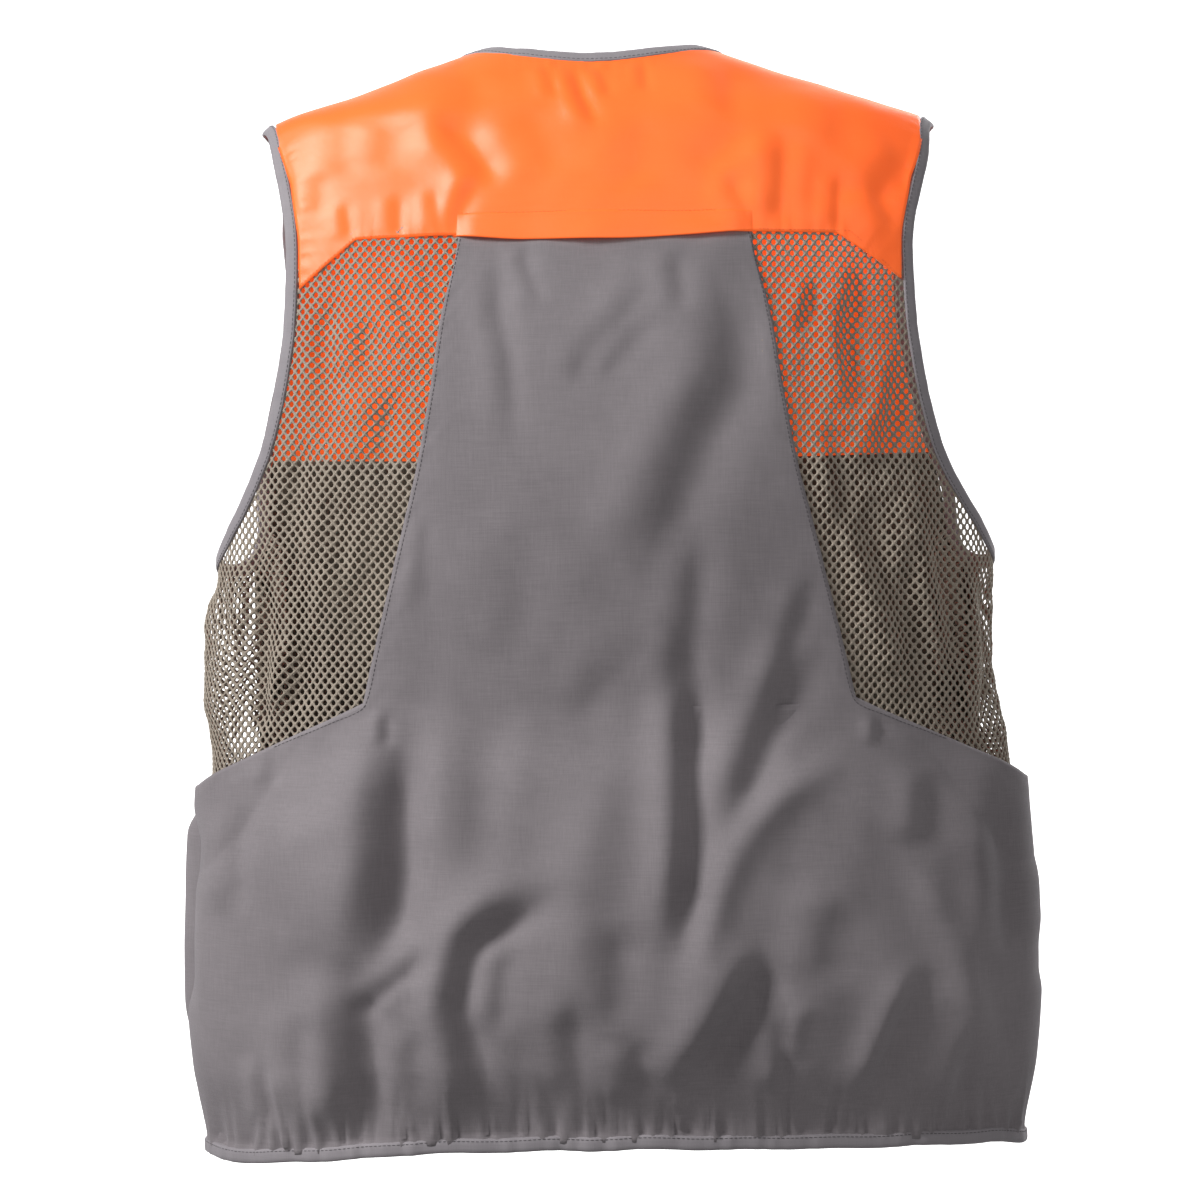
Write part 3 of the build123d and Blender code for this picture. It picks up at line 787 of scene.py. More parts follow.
def bag_cloth():
    """Centre panel and bag front in one T-shaped piece: a middle block and a block on each side of it."""
    rows_low, rows_high, across = 106, 112, 125
    corner_x, corner_z = PANEL_EDGE[-1]
    down = [(corner_x + (corner_z - z) * 0.05, z) for z in np.linspace(BAG_LOW, corner_z, 30)]
    down = unroll(down, bag=1.0)
    edge = along_line(unroll(PANEL_EDGE[::-1], bag=1.0), 4)
    half_line = np.vstack([down[:-1], edge])
    heights = np.r_[np.linspace(BAG_LOW, corner_z, rows_low), np.linspace(corner_z, PANEL_TOP, rows_high)[1:]]
    half = np.interp(heights, half_line[:, 1], half_line[:, 0])
    share = np.linspace(-1, 1, across)
    middle = np.stack([half[:, None] * share, np.repeat(heights[:, None], across, 1)], -1)
    blocks = [middle]
    for side in (1, -1):
        top = unroll(along_line(BAG_EDGE, 4), bag=1.0)
        outer = bag_side_line(side, BAG_LOW, BAG_EDGE[-1][1], 90)
        top[-1] = outer[-1]
        block = coons(np.array([down[0], outer[0]]), top, down, outer, rows_low, 52)
        block[:, 0] = middle[:rows_low, -1]
        blocks.append(block if side > 0 else block[:, ::-1] * (-1, 1))
    points, faces, count = [], [], 0
    for grid in blocks:
        u, z = grid[..., 0], grid[..., 1]
        base, _ = skin(u, z, 0.0, 1.0)
        off, puff = bag_shape(u, z, base[..., 0], base[..., 1])
        off = off - 0.36 * entry_draw(u, z)
        p, _ = skin(u, z, off, 1.0, puff)
        points.append(p.reshape(-1, 3))
        faces.append(grid_faces(*grid.shape[:2]) + count)
        count += len(points[-1])
    return np.vstack(points), np.vstack(faces), blocks


def entry_draw(u, z):
    """How far the cloth draws in along the open side entries, so that the layer behind shows."""
    draw = np.zeros(np.shape(u))
    edge = side_distance(z, 1.0)
    for side in (1, -1):
        near = step(44 - (edge - u * side), 0, 34) * (u * side > 0)
        draw += near * entry_gap(z, side)
    return draw


def weld(obj, distance=0.0002):
    """Joins the coincident points along the blocks' shared lines."""
    work = bmesh.new()
    work.from_mesh(obj.data)
    bmesh.ops.remove_doubles(work, verts=work.verts, dist=distance)
    bmesh.ops.recalc_face_normals(work, faces=work.faces)
    work.to_mesh(obj.data)
    work.free()


def game_bag():
    """The grey back panel and bag as one cloth, gathered into the hem."""
    points, faces, blocks = bag_cloth()
    obj = new_mesh("bag_cloth", points, faces, GREY, "vest", ["game_bag_outer"])
    weld(obj)
    thicken(obj, 0.9)
    return obj


def bag_lining():
    """The bag's inner wall. Round the sides it stands out to the bag's own edge, which is sewn to it."""
    line = np.array([(0, 291), (120, 291), (158, 288), (176, 284), (215, 268), (258, 247), (273, 239)], float)
    end = unroll([(FRONT_SEAM, 100)], True)[0, 0]
    u = np.linspace(-end, end, 210)
    top = np.interp(np.abs(u), unroll(line)[:, 0], line[:, 1])
    t = np.linspace(0, 1, 60)[:, None]
    grid = np.stack([np.repeat(u[None], 60, 0), BAG_LOW + (top - BAG_LOW) * t], -1)

    def shape(u, z, x, y):
        from_side = np.abs(u) - side_distance(z)
        stand = np.exp(-((from_side / np.where(from_side > 0, 34, 20)) ** 2))
        stand = stand * step(BAG_EDGE[-1][1] + 8 - z, 0, 40)
        relief = 0.7 * ripples(u, z, 60, 91) + 0.8 * puckers(u, z - HEM_WIDTH, 11, 1.4, 14, 92)
        entry = stand * step(z, 56, 100) * step(240 - z, 0, 30) * np.where(u > 0, 4.2, 1.2)
        return -1.2 + relief * (1 - 0.6 * stand) + entry, 0.95 * stand

    nodes = ["game_bag_lining", "bag_gusset_left", "bag_gusset_right"]
    panel("bag_lining_cloth", grid, GREY, nodes, shape, 0.7, flip=True)


# ---------------------------------------------------------------- front of the vest
def front_relief(x, z, seed):
    """Slow waves of the flat front cloths."""
    return 0.9 * ripples(x, z * 0.5, 75, seed, 0.1, 1.0) + 0.35 * ripples(x, z, 30, seed + 1)


def front_yoke(side, word):
    """The orange upper front, between the zip, the neck, the shoulder seam and the armhole."""
    zip_edge = [(PANEL_GAP, FRONT_YOKE_EDGE), (PANEL_GAP, 599)]
    shoulder = shoulder_seam()
    neck = [(27, 606.5), (44, 622), (59, 648), (75, 690), shoulder[-1]]
    left = np.vstack([unroll(zip_edge, True), unroll(along_line(neck, 5), True)])
    arm = [(211, FRONT_YOKE_EDGE), (207.5, 472), (203.5, 512), (201.5, 567), (204.5, 612), (211, 655),
           (210, 668)]
    right = unroll(along_line([*arm, shoulder[0]], 5), True)
    top = unroll(shoulder[::-1], True)
    bottom = unroll([(x, FRONT_YOKE_EDGE) for x in np.linspace(PANEL_GAP, 211, 20)], True)
    grid = coons(bottom, top, left, right, 90, 64) * (side, 1)

    def shape(u, z, x, y):
        arm_gap, arm_along = distance_to(along_line(ARM_EDGE_FRONT, 6), np.abs(x), z)
        relief = front_relief(x, z, 101 + side)
        relief += puckers(arm_along * 320, arm_gap - BINDING, 11, 0.8, 9, 111 + side)
        neck_gap, _ = distance_to(along_line(NECK_FRONT[:4], 6), np.abs(x), z)
        seam = step(z, FRONT_YOKE_EDGE + 1, FRONT_YOKE_EDGE + 22)
        inner = step(np.minimum(arm_gap - BINDING, neck_gap - NECK_BINDING), -1, 5) * step(np.abs(x), 8, 30)
        return relief * seam * inner * step(-y, 0, 16) + 0.5 * step(FRONT_YOKE_EDGE + 9 - z, 0, 5), None

    return panel("front_yoke_cloth_" + word, grid, ORANGE, ["front_yoke_" + word], shape,
                 flip=side > 0)


def front_panel(side, word):
    """The lower front, which reaches further round on the -X side."""
    seam, seam_top = (237, 385) if side > 0 else (248, 375)
    bottom = unroll([(x, BAG_LOW) for x in np.linspace(PANEL_GAP, seam, 24)], True)
    top = unroll([(x, FRONT_YOKE_EDGE + 5) for x in np.linspace(PANEL_GAP, 210, 20)], True)
    left = unroll([(PANEL_GAP, BAG_LOW), (PANEL_GAP, FRONT_YOKE_EDGE + 5)], True)
    right = unroll([(seam, BAG_LOW), (seam, 200), (seam, seam_top), (228, 397), (215, 430), (210, 455)], True)
    right = along_line(right, 5)
    grid = coons(bottom, top, left, right, 110, 60) * (side, 1)

    def shape(u, z, x, y):
        relief = front_relief(x, z, 121 + side) + 0.6 * puckers(x, z - HEM_WIDTH, 10, 1.8, 16, 131 + side)
        calm = step(FRONT_YOKE_EDGE - z, -1, 22) * step(np.abs(x), 8, 30)
        under_yoke = step(z, FRONT_YOKE_EDGE - 6, FRONT_YOKE_EDGE - 1)
        return relief * calm - 1.1 * under_yoke, None

    panel("front_panel_cloth_" + word, grid, OLIVE, ["front_panel_" + word], shape,
          flip=side > 0)


# ---------------------------------------------------------------- net
NET_PITCH, NET_ROW = 6.2, 3.45
HOLE_WIDE, HOLE_TALL = 1.72, 1.95
NET_SIDES = 8


def inside(polygon, u, z):
    """Whether each place is inside a closed polygon."""
    polygon = np.asarray(polygon)
    odd = np.zeros(np.shape(u), bool)
    for (u0, z0), (u1, z1) in zip(polygon, np.roll(polygon, -1, 0)):
        if z0 == z1:
            continue
        crosses = (z0 > z) != (z1 > z)
        odd ^= crosses & (u < (u1 - u0) * (z - z0) / (z1 - z0) + u0)
    return odd


def net_region():
    """The +X net panel's outline as (u, z), grown under the pieces that cover its edges."""
    centre = unroll([(x - 7, z) for x, z in PANEL_EDGE[1:]][::-1])
    yoke = unroll([(89, YOKE_EDGE + 6), (161, YOKE_EDGE + 6), (198, 566)])
    arm = unroll(along_line([(x - 3.6, z - 2) for x, z in ARM_EDGE_BACK[2:]], 5))
    arm_front = unroll(along_line([(258, 381), (248, 378.5), (231, 391), (FRONT_SEAM - 4, 405)], 5), True)
    seam = unroll([(FRONT_SEAM - 4, 405), (FRONT_SEAM - 4, 233)], True)
    under_bag = unroll([(273, 233), (258, 242), (215, 263), (176, 279), (149, 288)])
    return np.vstack([centre, yoke, arm[arm[:, 1] < 564], arm_front, seam, under_bag])


NET_FOLDS = [
    ([(128, 590), (123, 578), (105, 545)], 4.5, 1.6), ([(136, 562), (132, 545), (118, 520)], 6, 2.4),
    ([(157, 540), (158, 500)], 6, 1.8), ([(178, 560), (186, 520), (184, 480)], 7, 2.0),
    ([(130, 500), (146, 470), (150, 440)], 7, 1.8), ([(201, 340), (204, 313), (214, 280)], 7, 2.6),
    ([(231, 400), (231, 358), (233, 299), (231, 250)], 8, 4.6),
    ([(185, 430), (176, 390), (166, 340)], 8, 2.2), ([(146, 400), (158, 360), (160, 320)], 6, 1.4),
    ([(252, 380), (250, 320), (252, 262)], 8, 3.0), ([(196, 470), (206, 430), (204, 390)], 8, 2.2),
    ([(-165, 575), (-150, 520), (-160, 475)], 7, 2.6), ([(-132, 560), (-116, 520)], 5, 1.8),
    ([(-195, 520), (-180, 470), (-168, 436)], 8, 2.4), ([(-150, 420), (-180, 350), (-200, 296)], 9, 2.8),
    ([(-205, 430), (-215, 350), (-226, 285)], 8, 2.8), ([(-240, 382), (-246, 320), (-240, 262)], 8, 3.2),
    ([(-130, 470), (-142, 430), (-138, 390)], 7, 1.6), ([(-190, 400), (-188, 350)], 6, 1.6),
]


def net_panel(side, word):
    """Knitted net with round holes in staggered rows. Each hole is a ring of quads out to its hexagon."""
    region = net_region()
    low, high = region.min(0), region.max(0)
    rows = np.arange(int((high[1] - low[1]) / NET_ROW) + 2)
    columns = np.arange(int((high[0] - low[0]) / NET_PITCH) + 2)
    row, column = np.meshgrid(rows, columns, indexing="ij")
    centre_u = low[0] + (column + 0.5 * (row % 2)) * NET_PITCH
    centre_z = low[1] + row * NET_ROW
    keep = inside(region, centre_u, centre_z)
    centre_u, centre_z = centre_u[keep], centre_z[keep]
    turns = np.arange(NET_SIDES) * 2 * math.pi / NET_SIDES
    corner = np.arange(NET_SIDES) % 2 == 0
    reach = np.where(corner, 1.0, math.sqrt(0.5))
    outer_u = centre_u[:, None] + NET_PITCH / 2 * reach * np.cos(turns)
    outer_z = centre_z[:, None] + NET_ROW * reach * np.sin(turns)
    loose = 1 + 0.10 * noise(centre_u / 9 + centre_z / 7, 151)[:, None]
    inner_u = centre_u[:, None] + HOLE_WIDE * loose * np.cos(turns)
    inner_z = centre_z[:, None] + HOLE_TALL * loose * np.sin(turns)
    u = np.concatenate([outer_u, inner_u], 1)
    z = np.concatenate([outer_z, inner_z], 1)
    at_corner = np.broadcast_to(corner, outer_u.shape)
    lift = np.concatenate([np.where(at_corner, 0.35, 0.1), np.full(inner_u.shape, -0.25)], 1)
    base, _ = skin(u, z)
    x = base[..., 0] * side
    relief = 1.5 * sum_folds(x, z, [f for f in NET_FOLDS if f[0][0][0] * side > 0])
    relief += 0.9 * ripples(u * side, z * 0.5, 46, 161 + side, 0.5, 1.6) + 0.4 * ripples(u, z, 21, 163 + side)
    panel_gap, _ = distance_to(PANEL_EDGE + BAG_EDGE[1:], base[..., 0], z)
    arm_gap, _ = distance_to(along_line(ARM_EDGE_BACK, 8), base[..., 0], z)
    yoke_gap, _ = distance_to(YOKE_BOTTOM[:3], base[..., 0], z)
    relief *= step(np.minimum(np.minimum(panel_gap, yoke_gap - 6), arm_gap - 4), 2, 22)
    round_side = step(turn_at(u, z), 1.45, 1.7)
    under_front = step(turn_at(u, z), 1.72, 1.86)
    relief = relief * (1 + 0.8 * round_side) * (1 - 0.9 * under_front) - 1.0 * under_front
    points, _ = skin(u * side, z, relief + lift - 0.9)
    count = len(centre_u)
    ring = np.arange(NET_SIDES)
    first = (np.arange(count) * 2 * NET_SIDES)[:, None]
    following = (ring + 1) % NET_SIDES
    rim = first + NET_SIDES
    quads = np.stack([first + ring, first + following, rim + following, rim + ring], -1).reshape(-1, 4)
    if side < 0:
        quads = quads[:, ::-1]
    obj = new_mesh("net_" + word, points.reshape(-1, 3), quads, NET, "vest", ["mesh_panel_" + word])
    weld(obj, 0.0003)
    thicken(obj, 0.8, 0)


# ---------------------------------------------------------------- bindings
def strip_profile(width, thick):
    """Section of a folded binding: distance in from the edge, distance off the cloth, as a closed loop."""
    half, lip = thick / 2, 0.8
    outside = [(width, half * 0.55), (width - 0.7, half * 0.9), (width * 0.6, half),
               (width * 0.3, half * 1.05), (0.6, half * 0.95)]
    fold_over = [(-lip * 0.7, half * 0.5), (-lip, 0.0), (-lip * 0.7, -half * 0.5)]
    underside = [(a, -b) for a, b in outside[::-1]]
    return np.array(outside + fold_over + underside)


def edge_frame(path, inward, closed):
    """Points, outward normals and inward directions in space along an edge of (u, z) places."""
    spot, normal = skin(path[:, 0], path[:, 1])
    ahead = np.roll(spot, -1, 0) - np.roll(spot, 1, 0) if closed else np.gradient(spot, axis=0)
    into = np.cross(normal, ahead)
    into /= np.linalg.norm(into, axis=1, keepdims=True)
    towards = skin(path[:, 0] + inward[:, 0] * 2, path[:, 1] + inward[:, 1] * 2)[0] - spot
    into *= np.sign((into * towards).sum(1, keepdims=True))
    return spot, normal, into


def edge_line(path, inward, closed, distance, off):
    """A line beside an edge, a distance into the cloth and off its surface."""
    spot, normal, into = edge_frame(path, inward, closed)
    return spot + into * distance + normal * off


def sweep(name, path, inward, width, thick, closed, wobble, replaces, base_off=-0.3, widen=1.0,
          material=TAPE):
    """A folded binding along a path of (u, z) places, with inward the unit direction into the cloth. widen
    stretches its width, place by place if it's an array."""
    profile = strip_profile(width, thick)
    spot, normal, into = edge_frame(path, inward, closed)
    into = into * np.reshape(widen, (-1, 1))
    off = profile[None, :, 1] + wobble[:, None] + base_off
    points = spot[:, None] + into[:, None] * profile[None, :, :1] + normal[:, None] * off[..., None]
    faces = ring_faces(len(path), len(profile), closed=closed)
    obj = new_mesh(name, points.reshape(-1, 3), faces, material, "vest", replaces)
    weld(obj, 1e-7)
    return obj


def directions(path, closed):
    """Unit normals of a (u, z) path, on its right-hand side."""
    ahead = np.roll(path, -1, 0) - np.roll(path, 1, 0) if closed else np.gradient(path, axis=0)
    ahead = ahead / np.linalg.norm(ahead, axis=1, keepdims=True)
    return np.stack([ahead[:, 1], -ahead[:, 0]], 1)


def arm_path():
    """The armhole's edge as one closed loop of (u, z), down the back and up the front."""
    back = unroll(along_line(ARM_EDGE_BACK, 3))
    front = unroll(along_line(ARM_EDGE_FRONT, 3), True)[::-1]
    loop = np.vstack([back, front[1:-1]])
    closed = np.vstack([loop, loop[:1]])
    for _ in range(12):
        closed[1:-1] = (closed[:-2] + 2 * closed[1:-1] + closed[2:]) / 4
        closed[0] = closed[-1] = (closed[-2] + 2 * closed[0] + closed[1]) / 4
    turn = turn_at(closed[:, 0], closed[:, 1])
    closed[:, 1] += 5 * step(closed[:, 1], 640, 664)
    closed[:, 0] = round_at(turn, closed[:, 1])
    return resample(closed, spacing=2.5)[:-1]


def neck_path():
    """The neck's edge from zip to zip as (u, z)."""
    back = unroll(along_line(NECK_BACK, 3))
    front = unroll(along_line(NECK_FRONT, 3), True)
    front = front[np.abs(skin(front[:, 0], front[:, 1])[0][:, 0]) > PANEL_GAP]
    path = np.vstack([front[::-1][:-1], back, (front * (-1, 1))[1:]])
    for _ in range(6):
        path[1:-1] = (path[:-2] + 2 * path[1:-1] + path[2:]) / 4
    return resample(path, spacing=2.5)


def stitches(name, target, line, body="vest", thread=GREY_THREAD, pitch=3.0,
             length=2.2, radius=0.24, lift=0.12):
    """Thread stitches along a line of garment points, laid on the target's final surface."""
    depsgraph = bpy.context.evaluated_depsgraph_get()
    tree = BVHTree.FromObject(target, depsgraph)
    line = resample(line, spacing=pitch)
    points, faces = [], []
    sides = 5
    shape = [(-0.5, 0.35), (-0.36, 0.9), (0.0, 1.0), (0.36, 0.9), (0.5, 0.35)]
    for here, after in zip(line[:-1], line[1:]):
        spot, normal, _, _ = tree.find_nearest(Vector(place(here)))
        ahead, _, _, _ = tree.find_nearest(Vector(place(after)))
        if spot is None or (ahead - spot).length < 0.0008:
            continue
        outward = Vector(skin_normal(here))
        if normal.dot(outward) < 0:
            normal = -normal
        along = (ahead - spot).normalized()
        across = along.cross(normal).normalized()
        normal = across.cross(along)
        middle = (spot + ahead) / 2
        start = len(points)
        for share, size in shape:
            centre = middle + along * (share * length / 1000) + normal * ((lift - 0.25 * abs(share)) / 1000)
            for k in range(sides):
                turn = 2 * math.pi * k / sides
                offset = across * math.cos(turn) + normal * math.sin(turn)
                points.append(centre + offset * (size * radius / 1000))
        faces += ring_faces(len(shape), sides, start)
    obj = add_object(name, points, faces, thread)
    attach(obj, body)


def skin_normal(point):
    """Rough outward direction at a garment point."""
    x, y, _ = point
    mean_width = 260
    direction = np.array([x / mean_width**2, y / FRONT_DEPTH**2, 0])
    size = np.linalg.norm(direction)
    return direction / size if size > 0 else np.array([0, 1, 0])


def bindings():
    """The folded tapes round the armholes, the neck and the hem, with their stitches."""
    loop = arm_path()
    inward = directions(loop, True)
    if inward[len(loop) // 5, 0] > 0:
        inward = -inward
    wobble = 0.25 * noise(np.arange(len(loop)) / 9, 171)
    for side, word in ((1, "left"), (-1, "right")):
        mirror = np.array([side, 1])
        piece = sweep("armhole_edge_" + word, loop * mirror, inward * mirror, BINDING, 2.3, True, wobble,
                      ["armhole_binding_" + word])
        seam = edge_line(loop * mirror, inward * mirror, True, BINDING - 1.3, 1.0)
        stitches("armhole_stitches_" + word, piece, np.vstack([seam, seam[:1]]))
    path = neck_path()
    inward = directions(path, False)
    if inward[len(path) // 2, 1] > 0:
        inward = -inward
    wobble = 0.25 * noise(np.arange(len(path)) / 9, 172)
    _, normal = skin(path[:, 0], path[:, 1])
    widen = np.clip(1 / np.hypot(normal[:, 0], normal[:, 1]), 1, 1.4)
    neck = sweep("neck_edge", path, inward, NECK_BINDING + 0.6, 2.4, False, wobble, ["neck_binding"], 0.0,
                 widen)
    seam = edge_line(path, inward, False, (NECK_BINDING - 0.8) * widen[:, None], 1.3)
    stitches("neck_stitches", neck, seam)
    hem()


def hem_gathers(u):
    """Small uneven waves that the elastic makes in the hem."""
    return 0.45 * noise(u / 16, 182, 2) + 0.6 * noise(u / 45, 183)


def hem():
    """The hem binding: a flat tube all the way round, with the elastic inside it."""
    end = unroll([(PANEL_GAP, 4)], True)[0, 0]
    u = np.arange(-end, end, 2.0)
    inward = np.tile([0.0, 1.0], (len(u), 1))
    path = np.stack([u, 0.7 * noise(u / 70, 181, 1)], 1)
    piece = sweep("hem_edge", path, inward, HEM_WIDTH, 4.2, False, hem_gathers(u), ["hem_binding"], 0.9)
    stitches("hem_stitches", piece, edge_line(path, inward, False, HEM_WIDTH - 1.6, 3.0))
    inner = path[4:-4] + (0, 1.6)
    sweep("hem_elastic_band", inner, inward[4:-4], HEM_WIDTH - 3.2, 1.4, False, hem_gathers(u)[4:-4],
          ["hem_elastic"], 0.9, material=ELASTIC)


# ---------------------------------------------------------------- zip
ZIP_TOP, ZIP_BOTTOM, TEETH_LOW = 598.0, 0.0, 16.0
TAPE_Y, TAPE_IN, TAPE_OUT = -96.6, 1.5, 16.0
TOOTH_PITCH = 3.2


def flat_sheet(name, points, material, replaces, body, thickness, flip=False):
    """A cloth piece from a grid of garment points."""
    faces = grid_faces(*points.shape[:2], flip)
    obj = new_mesh(name, points.reshape(-1, 3), faces, material, body, replaces, thickness)
    return obj


def zip_tape(side, word):
    """Half of the zip's woven tape, with a thicker corded edge by the teeth."""
    heights, across = np.linspace(ZIP_BOTTOM, ZIP_TOP, 220), np.linspace(TAPE_IN, TAPE_OUT, 15)
    z, x = np.meshgrid(heights, across, indexing="ij")
    cord = 0.35 * np.exp(-(((x - TAPE_IN - 0.8) / 0.7) ** 2))
    ribs = 0.08 * np.sin(x * 2 * math.pi / 1.9)
    wave = 0.25 * noise(z / 34, 201 + side) * step(x, 4, 12)
    points = np.stack([x * side, TAPE_Y - cord - ribs - wave, z], -1)
    flat_sheet("zip_ribbon_" + word, points, DARK_TAPE, ["zip_tape_" + word],
               "vest", 0.7, side > 0)
    line = np.array([(side * 8.6, -99.5, z) for z in np.arange(9, 596, 3.0)])
    stitches("zip_stitches_" + word, FRONTS[side], line, lift=0.15)


def zip_teeth(side, word):
    """Moulded teeth, each a waisted head on a foot that grips the tape's cord."""
    outline = [(0.62, 0.25), (1.0, 0.0), (1.9, 0.0), (2.3, 0.4), (3.9, 0.25), (3.9, 1.35), (2.3, 1.2),
               (1.9, 1.6), (1.0, 1.6), (0.62, 1.35)]
    middle = np.array([2.2, 0.8])
    rings = [(-98.6, 0.8), (-98.25, 1.0), (-96.75, 1.0), (-96.5, 0.85)]
    points, faces = [], []
    for number in range(int((ZIP_TOP - 4 - TEETH_LOW) / TOOTH_PITCH)):
        low = TEETH_LOW + number * TOOTH_PITCH + (0 if side > 0 else TOOTH_PITCH / 2)
        first = len(points)
        for y, size in rings:
            for x, z in (np.array(outline) - middle) * size + middle:
                points.append((x * side, y, low + z))
        faces += ring_faces(len(rings), len(outline), first)
    if side < 0:
        faces = [face[::-1] for face in faces]
    new_mesh("zip_chain_" + word, points, faces, TEETH_PLASTIC, "vest", ["zip_teeth_" + word],
             smooth_faces=False)


def zip_metal_parts():
    """The slider, pull and stops keep their CAD shape and get a plated metal finish."""
    for node in ("zip_slider", "zip_pull", "zip_top_stops", "zip_bottom_stop"):
        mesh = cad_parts[node].data
        mesh.materials.clear()
        mesh.materials.append(ZIP_METAL)


# ---------------------------------------------------------------- pockets
POCKET_CENTRE, POCKET_TURN = (115.0, -82.6), math.radians(10.8)
POCKET_HALF, POCKET_LOW, POCKET_HIGH = 75.0, 40.0, 215.0
DEEP_TOP, DEEP_LOW = 15.0, 30.0
FLAP_WIDE, LEDGE_IN, LEDGE_Z, LEDGE_OUT, POCKET_DROP = 78.0, 7.5, 219.6, 17.4, 52.0
SNAP_DROP = 41.0
FRONT_SLOPE = (DEEP_LOW - DEEP_TOP) / (POCKET_HIGH - POCKET_LOW - 12)


def pocket_place(across, out, z, side):
    """Garment points from pocket measures: along its chord, out from the chest, and height."""
    across, out, z = np.broadcast_arrays(across, out, z)
    cos, sin = math.cos(POCKET_TURN), math.sin(POCKET_TURN)
    x = POCKET_CENTRE[0] + across * cos + out * sin
    y = POCKET_CENTRE[1] + across * sin - out * cos
    return np.stack([x * side, y, z], -1)


def chest_out(across, z):
    """How far out the chest is at a place along the pocket's chord."""
    a, _, front = section(np.broadcast_to(z, np.shape(across)))
    cos, sin = math.cos(POCKET_TURN), math.sin(POCKET_TURN)
    out = np.zeros(np.shape(across))
    for _ in range(12):
        x = POCKET_CENTRE[0] + across * cos + out * sin
        y = -front * np.sqrt(1 - (x / a) ** 2)
        out = (POCKET_CENTRE[1] + across * sin - y) / cos
    return out


def pocket_depth(z):
    """The pocket's depth at a height: it tapers to its mouth and rounds under at the bottom."""
    taper = DEEP_LOW - FRONT_SLOPE * np.clip(z - POCKET_LOW - 12, 0, None)
    return np.where(z < POCKET_LOW + 12, DEEP_LOW - 4 * ((POCKET_LOW + 12 - z) / 12) ** 2, taper)


def pocket(side, word):
    """A bellows pocket: front, folded sides and a bottom, sewn to the chest and open at the top."""
    s = np.linspace(-1, 1, 111)[None, :]
    z = np.r_[np.full(7, POCKET_LOW), np.linspace(POCKET_LOW, POCKET_HIGH, 90)[1:]][:, None]
    under = np.r_[np.linspace(0, 1, 7), np.ones(89)][:, None]
    depth = pocket_depth(z)
    wall = 0.14
    on_side = np.clip((np.abs(s) - (1 - wall)) / wall, 0, 1)
    across = np.clip(s / (1 - wall), -1, 1) * POCKET_HALF
    corner = step(np.abs(s), 1 - wall - 0.05, 1 - wall) * (1 - step(on_side, 0, 0.35))
    out = depth * (1 - on_side) * under
    crease = 5.5 * np.sin(math.pi * np.clip(on_side, 0, 1)) ** 2
    crease = crease * step(z, POCKET_LOW, POCKET_LOW + 30) * step(POCKET_HIGH - z, -6, 40)
    across = across - np.sign(s) * (crease + 1.6 * corner + 0.8 * (1 - under))
    face = (1 - step(np.abs(s), 0.70, 0.86)) * under
    below_flap = step(166 - z, 0, 26)
    folds = 1.2 * ripples(across, z * 0.6, 60, 211 + side, 0.2, 1.2)
    folds += 0.5 * puckers(across, z - POCKET_LOW - 8, 13, 1.6, 18, 215)
    out = out + face * below_flap * folds - 0.9 * corner * under
    out = np.maximum(out, chest_out(across, z) * (on_side > 0.98) + 0.2)
    points = pocket_place(across, out, z, side)
    obj = flat_sheet("pocket_cloth_" + word, points, OLIVE, ["pocket_" + word], "vest",
                     0.8, side < 0)
    for inset, low in ((2.5, POCKET_LOW + 10), (7.5, POCKET_LOW + 14)):
        edge = np.array([(-POCKET_HALF + inset + 2, h) for h in np.arange(POCKET_HIGH - 4, low, -2.5)])
        bottom = [(a, low) for a in np.arange(edge[-1, 0], -edge[-1, 0], 2.5)]
        line = np.vstack([edge, bottom, (edge * (-1, 1))[::-1]])
        seam = pocket_place(line[:, 0], pocket_depth(line[:, 1]) + 1, line[:, 1], side)
        stitches(f"pocket_stitches_{word}_{int(inset)}", obj, seam)
    mouth = np.array([(a, POCKET_HIGH - 11) for a in np.arange(-POCKET_HALF + 4, POCKET_HALF - 4, 2.5)])
    seam = pocket_place(mouth[:, 0], pocket_depth(mouth[:, 1]) + 1, mouth[:, 1], side)
    stitches("pocket_mouth_stitches_" + word, obj, seam)


def flap_profile(t):
    """The flap's side shape at a distance t from its seam: out along the ledge, round the fold and down the
    front."""
    ledge = LEDGE_OUT - LEDGE_IN
    bend = 3.0
    down = np.clip(t - ledge, 0, None)
    out = LEDGE_IN + np.clip(t, 0, ledge) + FRONT_SLOPE * down
    z = LEDGE_Z - down
    near = np.exp(-(((t - ledge) / bend) ** 2))
    return out - 0.9 * near, z - 0.9 * near


